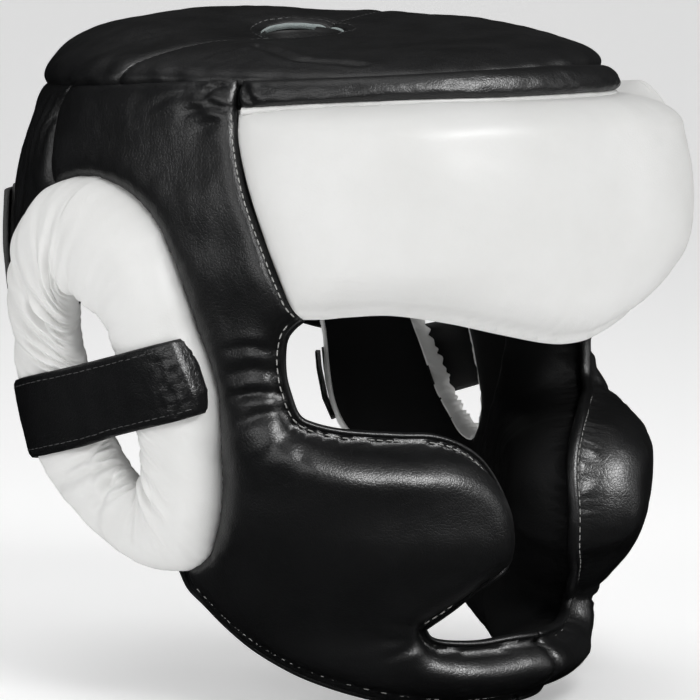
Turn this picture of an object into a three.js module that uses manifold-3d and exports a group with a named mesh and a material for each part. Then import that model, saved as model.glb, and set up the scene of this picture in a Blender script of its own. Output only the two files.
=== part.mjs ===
// Full-face boxing headgear: padded leather panels around a head cavity, a closed crown,
// cheek pads, a chin bar, oval ear rings crossed by straps, and a peel-open closure flap behind.
//
// Units are millimetres, +Z is up and the face looks towards -Y, so the wearer's right is -X.
// The origin is the middle of the head cavity, half way between the two ear openings.
// Round the head, a point is given by its angle from the front (degrees, positive to the
// wearer's left) and its height; the outer leather is a table of radii over those two.
import * as THREE from "three";
import { mergeVertices } from "three/addons/utils/BufferGeometryUtils.js";
import Module from "manifold-3d";

const wasm = await Module();
wasm.setup();

// ---------------------------------------------------------------- driving dimensions
const AXIS_Y = -8; // where the table's vertical axis stands, along Y
const LEATHER = 2.5; // cover and lining thickness, with their backing cloth
const GAP = 0.8; // clearance between neighbouring pieces
const FLATTEN = 0.15; // facets closer to a plane than this are joined
const SEAM = 0.45; // how far each panel stays back from a seam line
const CROWN_TOP = 139; // height of the crown's outer leather
const CROWN_PAD = 20; // thickness of the crown from leather to lining
const VENT_R = 15.5; // radius of the hole in the crown
const ROLL_PROUD = 4; // how far the brow roll stands out of the forehead
const RING_PROUD = 9.5; // how far an ear ring bulges outside the side panels
const RING_DEEP = 10; // and how far it reaches inside the line of their edges
const STRAP = 3; // ear strap thickness
const FLAP = 2.8; // closure flap thickness
const BACK_GAP_DEG = 173; // the back panels stop at this angle, either side of the gap
const FLAP_LO = 27, FLAP_HI = 67; // lower and upper edges of the closure flap
const FLAP_ROOT_DEG = 150, FLAP_END_DEG = 150; // stitched end (right), free end (left)
const GRID_DEG = 24; // facets round the shell
const Z_NODES = [-130, -112, -92, -62, -30, -5, 20, 38, 58, 84, 108, 130]; // rows of facets up it
const GRID_Z = Z_NODES.length - 1;

// outer radius every 10 degrees from the front (0) to the back (180), every 20 mm of height
const R_Z = [-130, -110, -90, -70, -50, -30, -10, 10, 30, 50, 70, 90, 110, 130];
const R_TABLE = [
  [94.2, 92.6, 88.6, 83.4, 78, 73.2, 69.4, 66.6, 65.1, 64.5, 64.6, 65.1, 65.5, 65.5, 65.8, 66.5, 67.5, 68.5, 69], // z = -130
  [101.7, 99.3, 96.1, 91.8, 86.6, 82.2, 78.7, 76.2, 74.6, 74, 74.1, 74.5, 74.7, 74.5, 74.2, 74.6, 75.3, 76.2, 76.7], // z = -110
  [111.1, 105.1, 102.9, 99.6, 94.4, 90.4, 87.5, 85.4, 83.7, 83, 83.3, 83.7, 83.8, 83.1, 82.4, 82.3, 82.5, 83, 83.3], // z = -90
  [113.9, 112.7, 107.6, 104.2, 100.6, 97.9, 95.9, 94.3, 92.4, 91.5, 91.9, 92.6, 92.6, 91.5, 90.1, 89.3, 88.9, 88.9, 89], // z = -70
  [114.6, 114.1, 109.2, 105.5, 103.5, 102.7, 101.9, 100.3, 98.1, 97, 97.6, 98.9, 99.4, 98.5, 96.8, 95.9, 95.1, 94.9, 95], // z = -50
  [112.6, 110.7, 106.2, 104.1, 104, 106.1, 106.6, 104, 101.2, 100, 100.9, 102.8, 104.2, 103.8, 102.5, 101.9, 101.3, 101.2, 101.3], // z = -30
  [113.9, 112.5, 108.6, 106.2, 106.2, 111.3, 111.7, 106.1, 102.7, 101.5, 102.6, 105.1, 107.3, 107.8, 107.4, 107.5, 107.3, 107.4, 107.5], // z = -10
  [120.1, 119.7, 119, 117.2, 115.3, 115.7, 112.9, 107.2, 103.7, 102.5, 103.7, 106.6, 109.4, 111, 111.6, 112.6, 112.7, 112.9, 113], // z = 10
  [127.2, 126.1, 127.4, 126.1, 121.8, 118.2, 112.9, 107.6, 104.2, 103, 104.2, 107.4, 110.7, 113, 114.6, 116.4, 117.1, 117.4, 117.5], // z = 30
  [126.1, 126.9, 127.6, 126.5, 122.5, 117.2, 111.4, 106.6, 103.3, 102, 103.2, 106.5, 110.1, 112.9, 115.2, 117.8, 119.2, 119.9, 120], // z = 50
  [123.5, 124.3, 124.6, 123.1, 119, 113.7, 108.1, 103.4, 100.2, 99, 100.2, 103.4, 107.1, 110.1, 113, 116.4, 118.6, 119.7, 120], // z = 70
  [120, 120.5, 120.1, 117.7, 113.2, 107.8, 102.4, 98.1, 95.1, 94, 95.1, 98.1, 101.6, 104.6, 107.9, 112.1, 115.4, 117.4, 118], // z = 90
  [116, 116.1, 114.9, 111.6, 106.7, 101.2, 96.1, 92, 89.3, 88.3, 89.3, 92, 95.3, 98.2, 101.6, 106.3, 110.4, 113.2, 114], // z = 110
  [107, 107, 105.5, 102.1, 97.2, 91.9, 87.1, 83.3, 80.9, 80, 80.9, 83.4, 86.3, 88.9, 92.2, 96.9, 101, 104, 104.8], // z = 130
];
// padding thickness, front to back
const T_DEG = [0, 30, 60, 90, 120, 150, 180];
const T_Z = [-115, -60, -20, 20, 60, 100, 130];
const T_TABLE = [
  [25, 28, 30, 24, 20, 17, 17],
  [30, 34, 37, 28, 22, 18, 17],
  [30, 34, 36, 26, 21, 18, 17],
  [36, 35, 27, 23, 20, 17, 17],
  [40, 38, 28, 22, 20, 18, 17],
  [34, 32, 26, 21, 19, 18, 17],
  [26, 25, 22, 20, 18, 18, 17],
];
// how far the stuffed pads crown above the line of their edges: brow, cheek and chin
const BROW_CROWN = {
  deg: [0, 15, 29, 38, 48, 56, 62, 67], share: [0.62, 0.8, 1, 0.97, 0.78, 0.48, 0.2, 0],
  z: [28, 32, 39, 44, 48, 56, 66, 79, 89, 97, 105, 112, 117, 122], mm: [0, 3, 7.6, 11.2, 14, 16, 18.5, 21, 22, 22.5, 22, 19, 12, 0],
};
const CHEEK_CROWN = {
  deg: [0, 8, 12, 18, 25, 34, 45, 55, 63, 70, 80], share: [0, 0.3, 0.55, 0.82, 0.95, 1, 0.95, 0.7, 0.4, 0.18, 0],
  z: [-95, -86, -77, -67, -59, -50, -40, -31, -23, -17, -12, -6, 0], mm: [0, 6.5, 11.5, 16, 19.5, 22, 22.5, 23, 21.3, 18.5, 14, 6, 0],
};
const CHIN_CROWN = {
  deg: [0, 30, 45, 60, 75], share: [1, 1, 0.7, 0.35, 0],
  z: [-120, -114, -110, -102, -97, -92, -86, -80], mm: [0, 3, 6.2, 10, 9.8, 8, 4, 0],
};
// height of the crown seam
const SEAM_DEG = [0, 20, 42, 68, 90, 110, 135, 180];
const SEAM_Z = [118, 117, 115, 113, 111.5, 109.5, 108, 107];
// height of the brow roll's lower edge
const BROW_DEG = [0, 30, 44, 54, 68.5, 72];
const BROW_Z = [107, 106.5, 105.4, 104.4, 102.4, 102];

// ---------------------------------------------------------------- small helpers
const rad = (d) => (d * Math.PI) / 180;
function lerp1(xs, ys, x) {
  if (x <= xs[0]) return ys[0];
  for (let i = 1; i < xs.length; i++)
    if (x <= xs[i])
      return ys[i - 1] + ((ys[i] - ys[i - 1]) * (x - xs[i - 1])) / (xs[i] - xs[i - 1]);
  return ys[ys.length - 1];
}
function lerp2(xs, ys, table, x, y) {
  return lerp1(ys, ys.map((_, j) => lerp1(xs, table[j], x)), y);
}
const R_DEG = Array.from({ length: 19 }, (_, i) => i * 10);
function fold(deg) {
  let a = Math.abs(deg) % 360;
  return a > 180 ? 360 - a : a;
}
const rEdge = (deg, z) => lerp2(R_DEG, R_Z, R_TABLE, fold(deg), z); // the line of the pads' edges
const crownOf = (c, deg, z) => lerp1(c.deg, c.share, fold(deg)) * lerp1(c.z, c.mm, z);
const rOut = (deg, z) =>
  rEdge(deg, z) + Math.max(crownOf(BROW_CROWN, deg, z), crownOf(CHEEK_CROWN, deg, z), crownOf(CHIN_CROWN, deg, z));
const pad = (deg, z) => lerp2(T_DEG, T_Z, T_TABLE, fold(deg), z);
const rIn = (deg, z) => rEdge(deg, z) - pad(deg, z);
const seamZ = (deg) => lerp1(SEAM_DEG, SEAM_Z, fold(deg));
const browZ = (deg) => lerp1(BROW_DEG, BROW_Z, fold(deg));
const place = (deg, z, r) => [r * Math.sin(rad(deg)), AXIS_Y - r * Math.cos(rad(deg)), z];

// moves every vertex of a three.js geometry with a function and merges the shared ones
function warp(geometry, move) {
  let g = geometry.clone();
  g.deleteAttribute("normal");
  g.deleteAttribute("uv");
  g = mergeVertices(g, 1e-4);
  const p = g.getAttribute("position");
  for (let i = 0; i < p.count; i++)
    p.setXYZ(i, ...move(p.getX(i), p.getY(i), p.getZ(i)));
  return mergeVertices(g, 1e-4);
}
function solid(g) {
  const make = (idx) =>
    new wasm.Manifold(
      new wasm.Mesh({
        numProp: 3,
        vertProperties: new Float32Array(g.getAttribute("position").array),
        triVerts: new Uint32Array(idx),
      }),
    );
  // drop triangles that a merge has collapsed
  const idx = [];
  const src = g.index.array;
  for (let i = 0; i < src.length; i += 3)
    if (src[i] !== src[i + 1] && src[i + 1] !== src[i + 2] && src[i] !== src[i + 2])
      idx.push(src[i], src[i + 1], src[i + 2]);
  const s = make(idx);
  if (s.volume() >= 0) return s;
  for (let i = 0; i < idx.length; i += 3) [idx[i + 1], idx[i + 2]] = [idx[i + 2], idx[i + 1]];
  return make(idx);
}
function geometryOf(s) {
  const m = s.getMesh();
  const n = m.numProp;
  const v = new Float32Array(m.numVert * 3);
  for (let i = 0; i < m.numVert; i++)
    v.set(m.vertProperties.subarray(i * n, i * n + 3), i * 3);
  const g = new THREE.BufferGeometry();
  g.setAttribute("position", new THREE.BufferAttribute(v, 3));
  g.setIndex(new THREE.BufferAttribute(new Uint32Array(m.triVerts), 1));
  g.computeVertexNormals();
  return g;
}

// a closed solid from rows of points: rows[k][i], rows joined in order and closed on themselves,
// with every quad split along the same diagonal whichever way the skin faces
function indexed(points, triangles) {
  const g = new THREE.BufferGeometry();
  g.setAttribute("position", new THREE.Float32BufferAttribute(points.flat(), 3));
  g.setIndex(triangles.flat());
  return solid(mergeVertices(g, 1e-4));
}
// a closed wall all round the head between two radius functions
function wall(outer, inner) {
  const pts = [], tri = [];
  const id = (k, i, j) => (k * GRID_DEG + (i % GRID_DEG)) * (GRID_Z + 1) + j;
  for (let k = 0; k < 2; k++)
    for (let i = 0; i < GRID_DEG; i++)
      for (let j = 0; j <= GRID_Z; j++) {
        const deg = -180 + (360 * i) / GRID_DEG, h = Z_NODES[j];
        pts.push(place(deg, h, k ? inner(deg, h) : outer(deg, h)));
      }
  for (let i = 0; i < GRID_DEG; i++) {
    for (let j = 0; j < GRID_Z; j++)
      for (let k = 0; k < 2; k++) {
        // the diagonal leans the same way on both halves of the head
        const [a, b, c, d] = [id(k, i, j), id(k, i + 1, j), id(k, i + 1, j + 1), id(k, i, j + 1)];
        const two = i < GRID_DEG / 2 ? [[a, b, c], [a, c, d]] : [[a, b, d], [b, c, d]];
        two.forEach((t) => tri.push(k ? t.reverse() : t));
      }
    for (const [j, up] of [[0, false], [GRID_Z, true]]) {
      const [a, b, c, d] = [id(0, i, j), id(0, i + 1, j), id(1, i + 1, j), id(1, i, j)];
      [[a, b, c], [a, c, d]].forEach((t) => tri.push(up ? t : t.reverse()));
    }
  }
  return indexed(pts, tri);
}

// outline of (degrees, height) points, kept back from its own line by d millimetres
const MM_PER_DEG = rad(1) * 108;
function inset(poly, d) {
  const p = poly.map(([a, z]) => new THREE.Vector2(a * MM_PER_DEG, z));
  const area = THREE.ShapeUtils.area(p);
  const s = area > 0 ? 1 : -1;
  const n = p.length;
  return p.map((v, i) => {
    const a = p[(i + n - 1) % n], b = p[(i + 1) % n];
    const e1 = v.clone().sub(a).normalize(), e2 = b.clone().sub(v).normalize();
    const n1 = new THREE.Vector2(-e1.y, e1.x).multiplyScalar(s);
    const n2 = new THREE.Vector2(-e2.y, e2.x).multiplyScalar(s);
    const m = n1.clone().add(n2);
    const k = Math.min(2.2, 2 / Math.max(0.4, m.lengthSq()));
    m.multiplyScalar(k * d);
    return [(v.x + m.x) / MM_PER_DEG, v.y + m.y];
  });
}
// splits long edges and bows them out by a few hundredths, so that no three points are in line
function densify(poly, step = 20) {
  const out = [];
  const turn = THREE.ShapeUtils.area(poly.map(([a, z]) => new THREE.Vector2(a, z))) > 0 ? 1 : -1;
  poly.forEach(([a, z], i) => {
    const [b, y] = poly[(i + 1) % poly.length];
    const dx = (b - a) * MM_PER_DEG, dy = y - z;
    const len = Math.hypot(dx, dy);
    const k = Math.max(1, Math.round(len / step));
    for (let j = 0; j < k; j++) {
      const t = j / k, bow = 0.16 * t * (1 - t) * turn;
      out.push([a + (b - a) * t + (bow * dy) / len / MM_PER_DEG, z + dy * t - (bow * dx) / len]);
    }
  });
  return out;
}
// a radial cookie cutter: everything that lies behind the outline, seen from the axis
const CUT_R = [8, 50, 76, 102, 128, 170, 1500];
function cutter(poly) {
  const flat = poly.map(([a, z]) => new THREE.Vector2(a, z));
  if (THREE.ShapeUtils.area(flat) < 0) {
    flat.reverse();
    poly = poly.slice().reverse();
  }
  const n = poly.length, pts = [], tri = [];
  CUT_R.forEach((r) => poly.forEach(([a, z]) => pts.push(place(a, z, r))));
  const last = (CUT_R.length - 1) * n;
  THREE.ShapeUtils.triangulateShape(flat, []).forEach(([a, b, c]) => {
    tri.push([c, b, a], [last + a, last + b, last + c]);
  });
  for (let k = 0; k + 1 < CUT_R.length; k++)
    for (let i = 0; i < n; i++) {
      const j = (i + 1) % n;
      const [a, b, c, d] = [k * n + i, k * n + j, (k + 1) * n + j, (k + 1) * n + i];
      // split from the lower end, near the axis, to the upper end, far from it
      const up = poly[j][1] - poly[i][1] || Math.abs(poly[j][0]) - Math.abs(poly[i][0]);
      if (up > 0) tri.push([a, b, c], [a, c, d]);
      else tri.push([a, b, d], [b, c, d]);
    }
  return indexed(pts, tri);
}
const mirror = (poly) => poly.map(([a, z]) => [-a, z]).reverse();

// a curved strip, from a box: u runs round the head, v up it, w out of it
function strip(d0, d1, lo, hi, inner, outer, nu, nv, nw = 1) {
  return solid(
    warp(new THREE.BoxGeometry(1, 1, 1, nu, nv, nw), (x, y, z) => {
      const deg = d0 + (d1 - d0) * (x + 0.5);
      const l = lo(deg), h = hi(deg);
      const v = l + (h - l) * (y + 0.5);
      const r0 = inner(deg, v), r1 = outer(deg, v);
      return place(deg, v, r0 + (r1 - r0) * (z + 0.5));
    }),
  );
}

// drops the points of an open line that lie within tol of the line without them
function thin(pts, tol = 1.5) {
  if (pts.length < 3) return pts;
  const [a, b] = [pts[0], pts[pts.length - 1]];
  const dx = (b[0] - a[0]) * MM_PER_DEG, dy = b[1] - a[1], len = Math.hypot(dx, dy) || 1;
  let worst = 0, at = 0;
  pts.forEach((p, i) => {
    const d = Math.abs(((p[0] - a[0]) * MM_PER_DEG * dy - (p[1] - a[1]) * dx) / len);
    if (d > worst) [worst, at] = [d, i];
  });
  return worst <= tol ? [a, b] : [...thin(pts.slice(0, at + 1), tol), ...thin(pts.slice(at), tol).slice(1)];
}

// ---------------------------------------------------------------- outlines, left side (positive degrees)
const foreheadSeam = thin([[68.5, 102.2], [67.6, 92], [64.6, 74.6], [60.6, 57.4], [57.4, 43.5], [55.2, 33.8], [53, 29.3]]);
const foreheadLow = thin([[44.8, 30.5], [37.5, 31], [28.4, 28], [17.8, 22.8], [6.7, 18], [0, 17]]);
const ringTop = thin([[116.6, 74], [113.5, 75.3], [107.8, 75.8], [103, 74.4], [97.3, 71.6], [91.6, 66.3], [86.4, 58.8], [82.6, 49.5], [79.5, 39.4], [77.3, 30.6], [75.5, 22.8]]);
const ringFront = thin([[72.8, 12], [70.9, 2], [70.6, -6.3], [70.4, -15], [70.6, -31.7], [71.8, -45.3], [73.8, -53.8], [75.4, -59], [79.1, -63.5], [84.5, -65.9], [90.3, -67.3]]);
const ringRear = thin([[98, -64], [105, -57.5], [112, -50], [119, -43], [124.3, -34], [126.8, -24], [127.9, -12], [128.5, 0], [129.5, 12], [130.8, 26], [131, 40], [130, 52], [127, 62], [122, 70]]);
const backSeam = thin([[124.6, 108.2], [126.5, 99], [124, 88], [120.6, 81]]);
const jaw = thin([[83, -73.5], [79.5, -79], [74.5, -87], [67.4, -95.5], [57.3, -103.5], [46.9, -109], [35.3, -113.5], [24, -116.5], [13, -118], [0, -117.5]]);
const chinTop = thin([[0, -92], [6, -92], [14.7, -93], [24.3, -91], [27.3, -86]]);
const cheekFront = thin([[21, -78], [17.3, -72], [14, -68.5], [11.3, -64], [10.5, -56], [10.6, -50], [11.9, -38], [15.1, -27], [20, -19.5], [26.6, -15], [34, -14], [45, -12], [51.5, -9], [54.1, -6], [55.6, 1], [56.7, 10], [56.5, 21]]);
const roofEdge = (d0, d1, n, drop) =>
  Array.from({ length: n + 1 }, (_, i) => {
    const d = d0 + ((d1 - d0) * i) / n;
    return [d, seamZ(d) - drop];
  });

// side panel of temple, cheek, jaw and half the chin bar
const sideOutline = [
  ...foreheadSeam.slice(0, 1), ...roofEdge(69.2, 124.6, 6, 0.1).map(([a, z]) => [a, z]),
  ...backSeam.slice(1), ...ringTop, ...ringFront.filter(([a]) => a < 85), ...jaw, ...chinTop, ...cheekFront,
  ...foreheadSeam.slice(1).reverse(),
];
const foreheadHalf = [...foreheadLow.slice().reverse(), ...foreheadSeam.slice().reverse()];
const foreheadOutline = [
  ...foreheadHalf, // bottom centre, then up the left seam
  ...[54, 44, 30, 15, 0, -15, -30, -44, -54].map((a) => [a, browZ(a)]),
  ...foreheadHalf.slice(1).map(([a, z]) => [-a, z]).reverse(),
];
const backOutline = [
  ...roofEdge(124.6, BACK_GAP_DEG, 5, 0.1),
  [BACK_GAP_DEG, 60], [BACK_GAP_DEG, 22.5],
  [165, 22], [155, 20.5], [147, 17.5], [140, 12.5], [134.5, 8], [129.6, 5],
  ...ringRear.filter(([a, z]) => z > 11 && a > 120), ...ringTop.slice(0, 1), ...backSeam.slice().reverse().slice(0, -1),
];
// padding blocks inside the side panel
const templeCut = [[56.6, 21.5], [75.4, 22.4]];
const templeOutline = [
  ...foreheadSeam.slice(0, 1), ...roofEdge(69.2, 124.6, 6, 0.1), ...backSeam.slice(1), ...ringTop.slice(0, -1),
  ...templeCut.slice().reverse(), ...foreheadSeam.slice(1).reverse(),
];
const cheekOutline = [
  [75.1, 21], ...ringFront.filter(([a]) => a < 85), ...jaw.filter(([a]) => a > 34), [32.6, -114], [31, -87], [26.5, -82], ...cheekFront.slice(0, -1), [56.6, 20.6],
];
const chinOutline = [
  [27, -88.5], [30.6, -114.6], [24, -116.5], [13, -118], [0, -117.5], [-13, -118], [-24, -116.5], [-30.6, -114.6], [-27, -88.5],
  [-24.3, -91], [-14.7, -93], [-6, -92], [6, -92], [14.7, -93], [24.3, -91],
];

// ---------------------------------------------------------------- the shell's layers
const ALL = wall((d, z) => rOut(d, z), (d, z) => rIn(d, z) + LEATHER + GAP); // leather to behind the padding
const HOLLOW = wall((d, z) => rOut(d, z) - LEATHER, (d, z) => rIn(d, z) - 6); // what the padding may fill
const FOAM = wall((d, z) => rOut(d, z) - LEATHER - GAP, (d, z) => rIn(d, z) + LEATHER + GAP);
const LINING = wall((d, z) => rIn(d, z) + LEATHER, (d, z) => rIn(d, z));
const WRAP = LEATHER; // the cover turns in round its edge by this much

const coverOf = (poly) => {
  const outside = ALL.intersect(cutter(inset(densify(poly), SEAM)));
  const inside = HOLLOW.intersect(cutter(inset(densify(poly), SEAM + WRAP)));
  const chin = HOLLOW.intersect(cutter(inset(densify(chinOutline), SEAM + WRAP)));
  return outside.subtract(inside).subtract(chin); // the chin's padding runs through the centre seam
};
const foamOf = (poly) => FOAM.intersect(cutter(inset(densify(poly), SEAM + WRAP + GAP)));
const liningOf = (poly) => LINING.intersect(cutter(inset(densify(poly), SEAM)));

// ---------------------------------------------------------------- ear ring: an oval tube round the ear opening
const ringOutline = [...ringTop.slice().reverse(), ...ringRear.slice().reverse(), ...ringFront.slice().reverse()];
const holeOutline = [[108.4, 33.6], [105.5, 32.4], [101.6, 28.5], [98.9, 26.4], [96.6, 21], [95, 14.6], [91.9, 0], [89.2, -13.8], [88.1, -19.6], [87.7, -28.5], [88.7, -35], [92.5, -32.2], [95.5, -24.9], [98.3, -17.8], [102.8, -3], [106.8, 9.3], [108, 17], [108.8, 24.3], [108.9, 31]];
const RING_C = [95.2, 0];
function rayTo(poly, phi) {
  const dx = Math.cos(phi), dy = Math.sin(phi);
  let best = 0;
  poly.forEach(([a0, z0], i) => {
    const [a1, z1] = poly[(i + 1) % poly.length];
    const x0 = (a0 - RING_C[0]) * MM_PER_DEG, y0 = z0 - RING_C[1];
    const x1 = (a1 - RING_C[0]) * MM_PER_DEG, y1 = z1 - RING_C[1];
    const ex = x1 - x0, ey = y1 - y0;
    const det = dx * -ey + dy * ex;
    if (Math.abs(det) < 1e-9) return;
    const t = (x0 * -ey + y0 * ex) / det;
    const u = (dx * y0 - dy * x0) / det;
    if (t > 0 && u >= -1e-6 && u <= 1 + 1e-6) best = Math.max(best, t);
  });
  return [RING_C[0] + (best * dx) / MM_PER_DEG, RING_C[1] + best * dy];
}
const RING_N = 18;
// one layer of the tube, between two skins that lie a and b inside the leather, from section
// angle s0 to s1 (0 at the outer seam, 90 outside the head, 180 at the hole)
function ringLayer(side, a, b, s0, s1, n) {
  const profile = [];
  const whole = b === null;
  const turn = (i) => rad(s0 + ((s1 - s0) * i) / n);
  for (let i = 0; i <= n; i++) profile.push(new THREE.Vector2(4 + Math.cos(turn(i)), Math.sin(turn(i))));
  if (!whole) {
    for (let i = n; i >= 0; i--) profile.push(new THREE.Vector2(4 + 0.8 * Math.cos(turn(i)), 0.8 * Math.sin(turn(i))));
    profile.push(profile[0].clone());
  }
  return solid(
    warp(new THREE.LatheGeometry(profile, RING_N), (x, y, z) => {
      const phi = Math.atan2(x, z);
      const q = Math.hypot(x, z) - 4; // towards the outer seam
      const t = Math.atan2(y, q);
      const inward = Math.hypot(y, q) > 0.9 ? a : b;
      const o = rayTo(ringOutline, phi), h = rayTo(holeOutline, phi);
      const half = Math.hypot((o[0] - h[0]) * MM_PER_DEG, o[1] - h[1]) / 2;
      const k = (half - SEAM - 0.15 - inward) / half;
      const c = Math.sign(Math.cos(t)) * Math.abs(Math.cos(t)) ** 0.85;
      const v = Math.sign(Math.sin(t)) * Math.abs(Math.sin(t)) ** 0.85;
      const deg = (o[0] + h[0]) / 2 + ((o[0] - h[0]) / 2) * c * k;
      const zz = (o[1] + h[1]) / 2 + ((o[1] - h[1]) / 2) * c * k;
      const top = rOut(deg, zz) + RING_PROUD - inward, low = rEdge(deg, zz) - RING_DEEP + inward;
      return place(side * deg, zz, (top + low) / 2 + ((top - low) / 2) * v);
    }),
  );
}

// ---------------------------------------------------------------- crown
const CROWN_N = 24;
const CROWN_T = [0, 0.35, 0.62, 0.82, 0.94, 1]; // from the edge of the hole to the seam
// one layer of the crown between two skins, open below and pierced by the vent
function domeLayer(inA, flatA, inB, flatB, hole) {
  const pts = CROWN_T.map((t) => new THREE.Vector2(1 + t, 1));
  CROWN_T.slice().reverse().forEach((t) => pts.push(new THREE.Vector2(1 + t, 0)));
  pts.push(pts[0].clone());
  return solid(
    warp(new THREE.LatheGeometry(pts, CROWN_N), (x, y, z) => {
      const deg = (Math.atan2(x, z) * 180) / Math.PI;
      const t = Math.min(1, Math.max(0, Math.hypot(x, z) - 1));
      const [inward, flat] = y > 0.5 ? [inA, flatA] : [inB, flatB];
      const base = seamZ(deg) + 0.5;
      const R = rEdge(deg, seamZ(deg)) - inward;
      const r = hole + (R - hole) * t;
      const rho = Math.min(1, r / R);
      const g = rho <= flat ? 1 : Math.max(0, 1 - ((rho - flat) / (1 - flat)) ** 4) ** 0.45;
      return [r * Math.sin(rad(deg)), AXIS_Y * t - r * Math.cos(rad(deg)), base + (CROWN_TOP - inward - base) * g];
    }),
  );
}
const FLAT = 0.5; // the ceiling is flat out to this share of its radius
const crownCoverAll = domeLayer(0, 0, LEATHER, 0, VENT_R);
const crownFoam = domeLayer(LEATHER + GAP, 0, CROWN_PAD - LEATHER - GAP, FLAT, VENT_R + 0.6);
const crownLining = domeLayer(CROWN_PAD - LEATHER, FLAT, CROWN_PAD, FLAT, VENT_R);
// the cross seam runs from ear to ear and meets the hole in the middle
function half(front) {
  const edge = [[-170, 17], [-88, 17], [-40, 3], [0, 0], [40, 3], [88, 17], [170, 17]];
  const s = new THREE.Shape();
  const off = front ? -SEAM : SEAM;
  s.moveTo(edge[0][0], edge[0][1] + off);
  edge.slice(1).forEach(([x, y]) => s.lineTo(x, y + off));
  s.lineTo(170, front ? -220 : 220);
  s.lineTo(-170, front ? -220 : 220);
  s.closePath();
  return solid(warp(new THREE.ExtrudeGeometry(s, { depth: 120, bevelEnabled: false }), (x, y, z) => [x, y, z + 60]));
}

// ---------------------------------------------------------------- brow roll
const rollLo = (d) => browZ(d) + 0.4;
const rollHi = (d) => seamZ(d) - 0.4;
const rollEnd = 67.6;
const rollMid = (d, v) => (v - (rollLo(d) + rollHi(d)) / 2) / ((rollHi(d) - rollLo(d)) / 2);
const rollOuter = (k) => (d, v) => rEdge(d, v) + (ROLL_PROUD + 2) * Math.sqrt(Math.max(0, 1 - 0.85 * rollMid(d, v) ** 2)) - 2 - k;
const rollCover = strip(-rollEnd, rollEnd, rollLo, rollHi, (d, v) => rEdge(d, v) - 12, rollOuter(0), 16, 3)
  .subtract(strip(-rollEnd + 2, rollEnd - 2, (d) => rollLo(d) + 1.8, (d) => rollHi(d) - 1.8, (d, v) => rEdge(d, v) - 30, rollOuter(LEATHER), 16, 1));
const rollCore = strip(-rollEnd + 2.4, rollEnd - 2.4, (d) => rollLo(d) + 2.2, (d) => rollHi(d) - 2.2, (d, v) => rIn(d, v) + LEATHER + GAP, rollOuter(LEATHER + 0.9), 16, 1);

// ---------------------------------------------------------------- ear straps
const STRAP_DEG = [70, 72, 75, 79, 88, 96, 104, 111, 117, 122, 126, 129, 131];
const STRAP_OUT = [1.2, 6, 10, 11.2, 8.4, 7.2, 8.4, 11, 11.2, 10, 7.5, 4, 1.5];
const strapTopZ = (d) => lerp1([69.7, 73, 88.3, 97.5, 106.8, 118.2, 132], [23, 23.2, 14.9, 10.3, 5.8, 0.6, -5.5], Math.abs(d));
const strapLowZ = (d) => lerp1([69.7, 76.3, 84, 91.4, 99.9, 112.2, 132], [-3.9, -8.2, -12.2, -16, -21.2, -27.1, -34], Math.abs(d));
const strapSkin = (k) => (d, v) => rOut(d, lerp1([-40, 30], [-20, 20], v)) + lerp1(STRAP_DEG, STRAP_OUT, Math.abs(d)) + k;
function strap(side) {
  const raw = strip(side * 70.6, side * 130.2, strapLowZ, strapTopZ, strapSkin(0), strapSkin(STRAP), 14, 1);
  // behind the ring it turns in towards the lining
  const turned = strip(side * 128.9, side * 130.2, strapLowZ, strapTopZ, (d, v) => rIn(d, v) + 1, strapSkin(STRAP - 0.5), 1, 1);
  return raw.add(turned).subtract(ringLayer(side, -GAP - 0.1, null, 0, 360, 10));
}

// ---------------------------------------------------------------- closure at the back
const tall = (d) => Math.max(...[14, 30, 50, 64].map((z) => rOut(d, z)));
const layer = (k) => (d) => tall(d) + k;
const across = (d0, d1, lo, hi, k0, k1, n) => strip(d0, d1, () => lo, () => hi, layer(k0), layer(k1), n, 1);
// right is negative: the flap starts on the right back panel and passes behind the gap
const flap = across(-FLAP_ROOT_DEG, -(360 - FLAP_END_DEG), FLAP_LO, FLAP_HI, 3.6, 3.6 + FLAP, 14);
const hookPatch = across(-(360 - 171), -(360 - 152), FLAP_LO + 4, FLAP_HI - 4, 2.0, 3.3, 6);
const loopPatch = across(172, 148, FLAP_LO + 2, FLAP_HI - 2, 0.4, 1.6, 6);
const rootPatch = across(-151.5, -171, FLAP_LO - 2, FLAP_HI + 2, 0.4, 3.2, 6);
const elasticZ = [FLAP_LO + 6, FLAP_HI - 6];
const elastic = strip(-173.4, -186.6, () => elasticZ[0], () => elasticZ[1], (d, z) => rOut(d, z) - 10, (d, z) => rOut(d, z) - 8, 4, 1);

// ---------------------------------------------------------------- materials
const mat = (color, roughness, metalness = 0) => new THREE.MeshStandardMaterial({ color, roughness, metalness });
const blackLeather = mat(0x0d0d0f, 0.38);
const whiteLeather = mat(0xf1f1ef, 0.42);
const liningLeather = mat(0x17171a, 0.6);
const foam = mat(0x5b5e60, 0.95);
const strapLeather = mat(0x101012, 0.33);
const hookTape = mat(0x151517, 0.9);
const loopTape = mat(0x1d1d20, 0.95);
const elasticWeb = mat(0x18181b, 0.8);

const headgear = new THREE.Group();
headgear.name = "boxing_headgear";
function add(name, s, material) {
  const m = new THREE.Mesh(geometryOf(s.asOriginal().simplify(FLATTEN)), material);
  m.name = name;
  headgear.add(m);
  return m;
}

// forehead
add("forehead_cover", coverOf(foreheadOutline), whiteLeather);
add("forehead_padding", foamOf(foreheadOutline), foam);
const foreheadLiningOutline = [
  ...foreheadHalf.slice(0, -1), [68.5, 102.2],
  ...roofEdge(67.6, -67.6, 12, 0.5), [-68.5, 102.2],
  ...foreheadHalf.slice(1, -1).map(([a, z]) => [-a, z]).reverse(),
];
add("forehead_lining", liningOf(foreheadLiningOutline), liningLeather);
add("brow_roll_cover", rollCover, blackLeather);
add("brow_roll_core", rollCore, foam);

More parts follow.
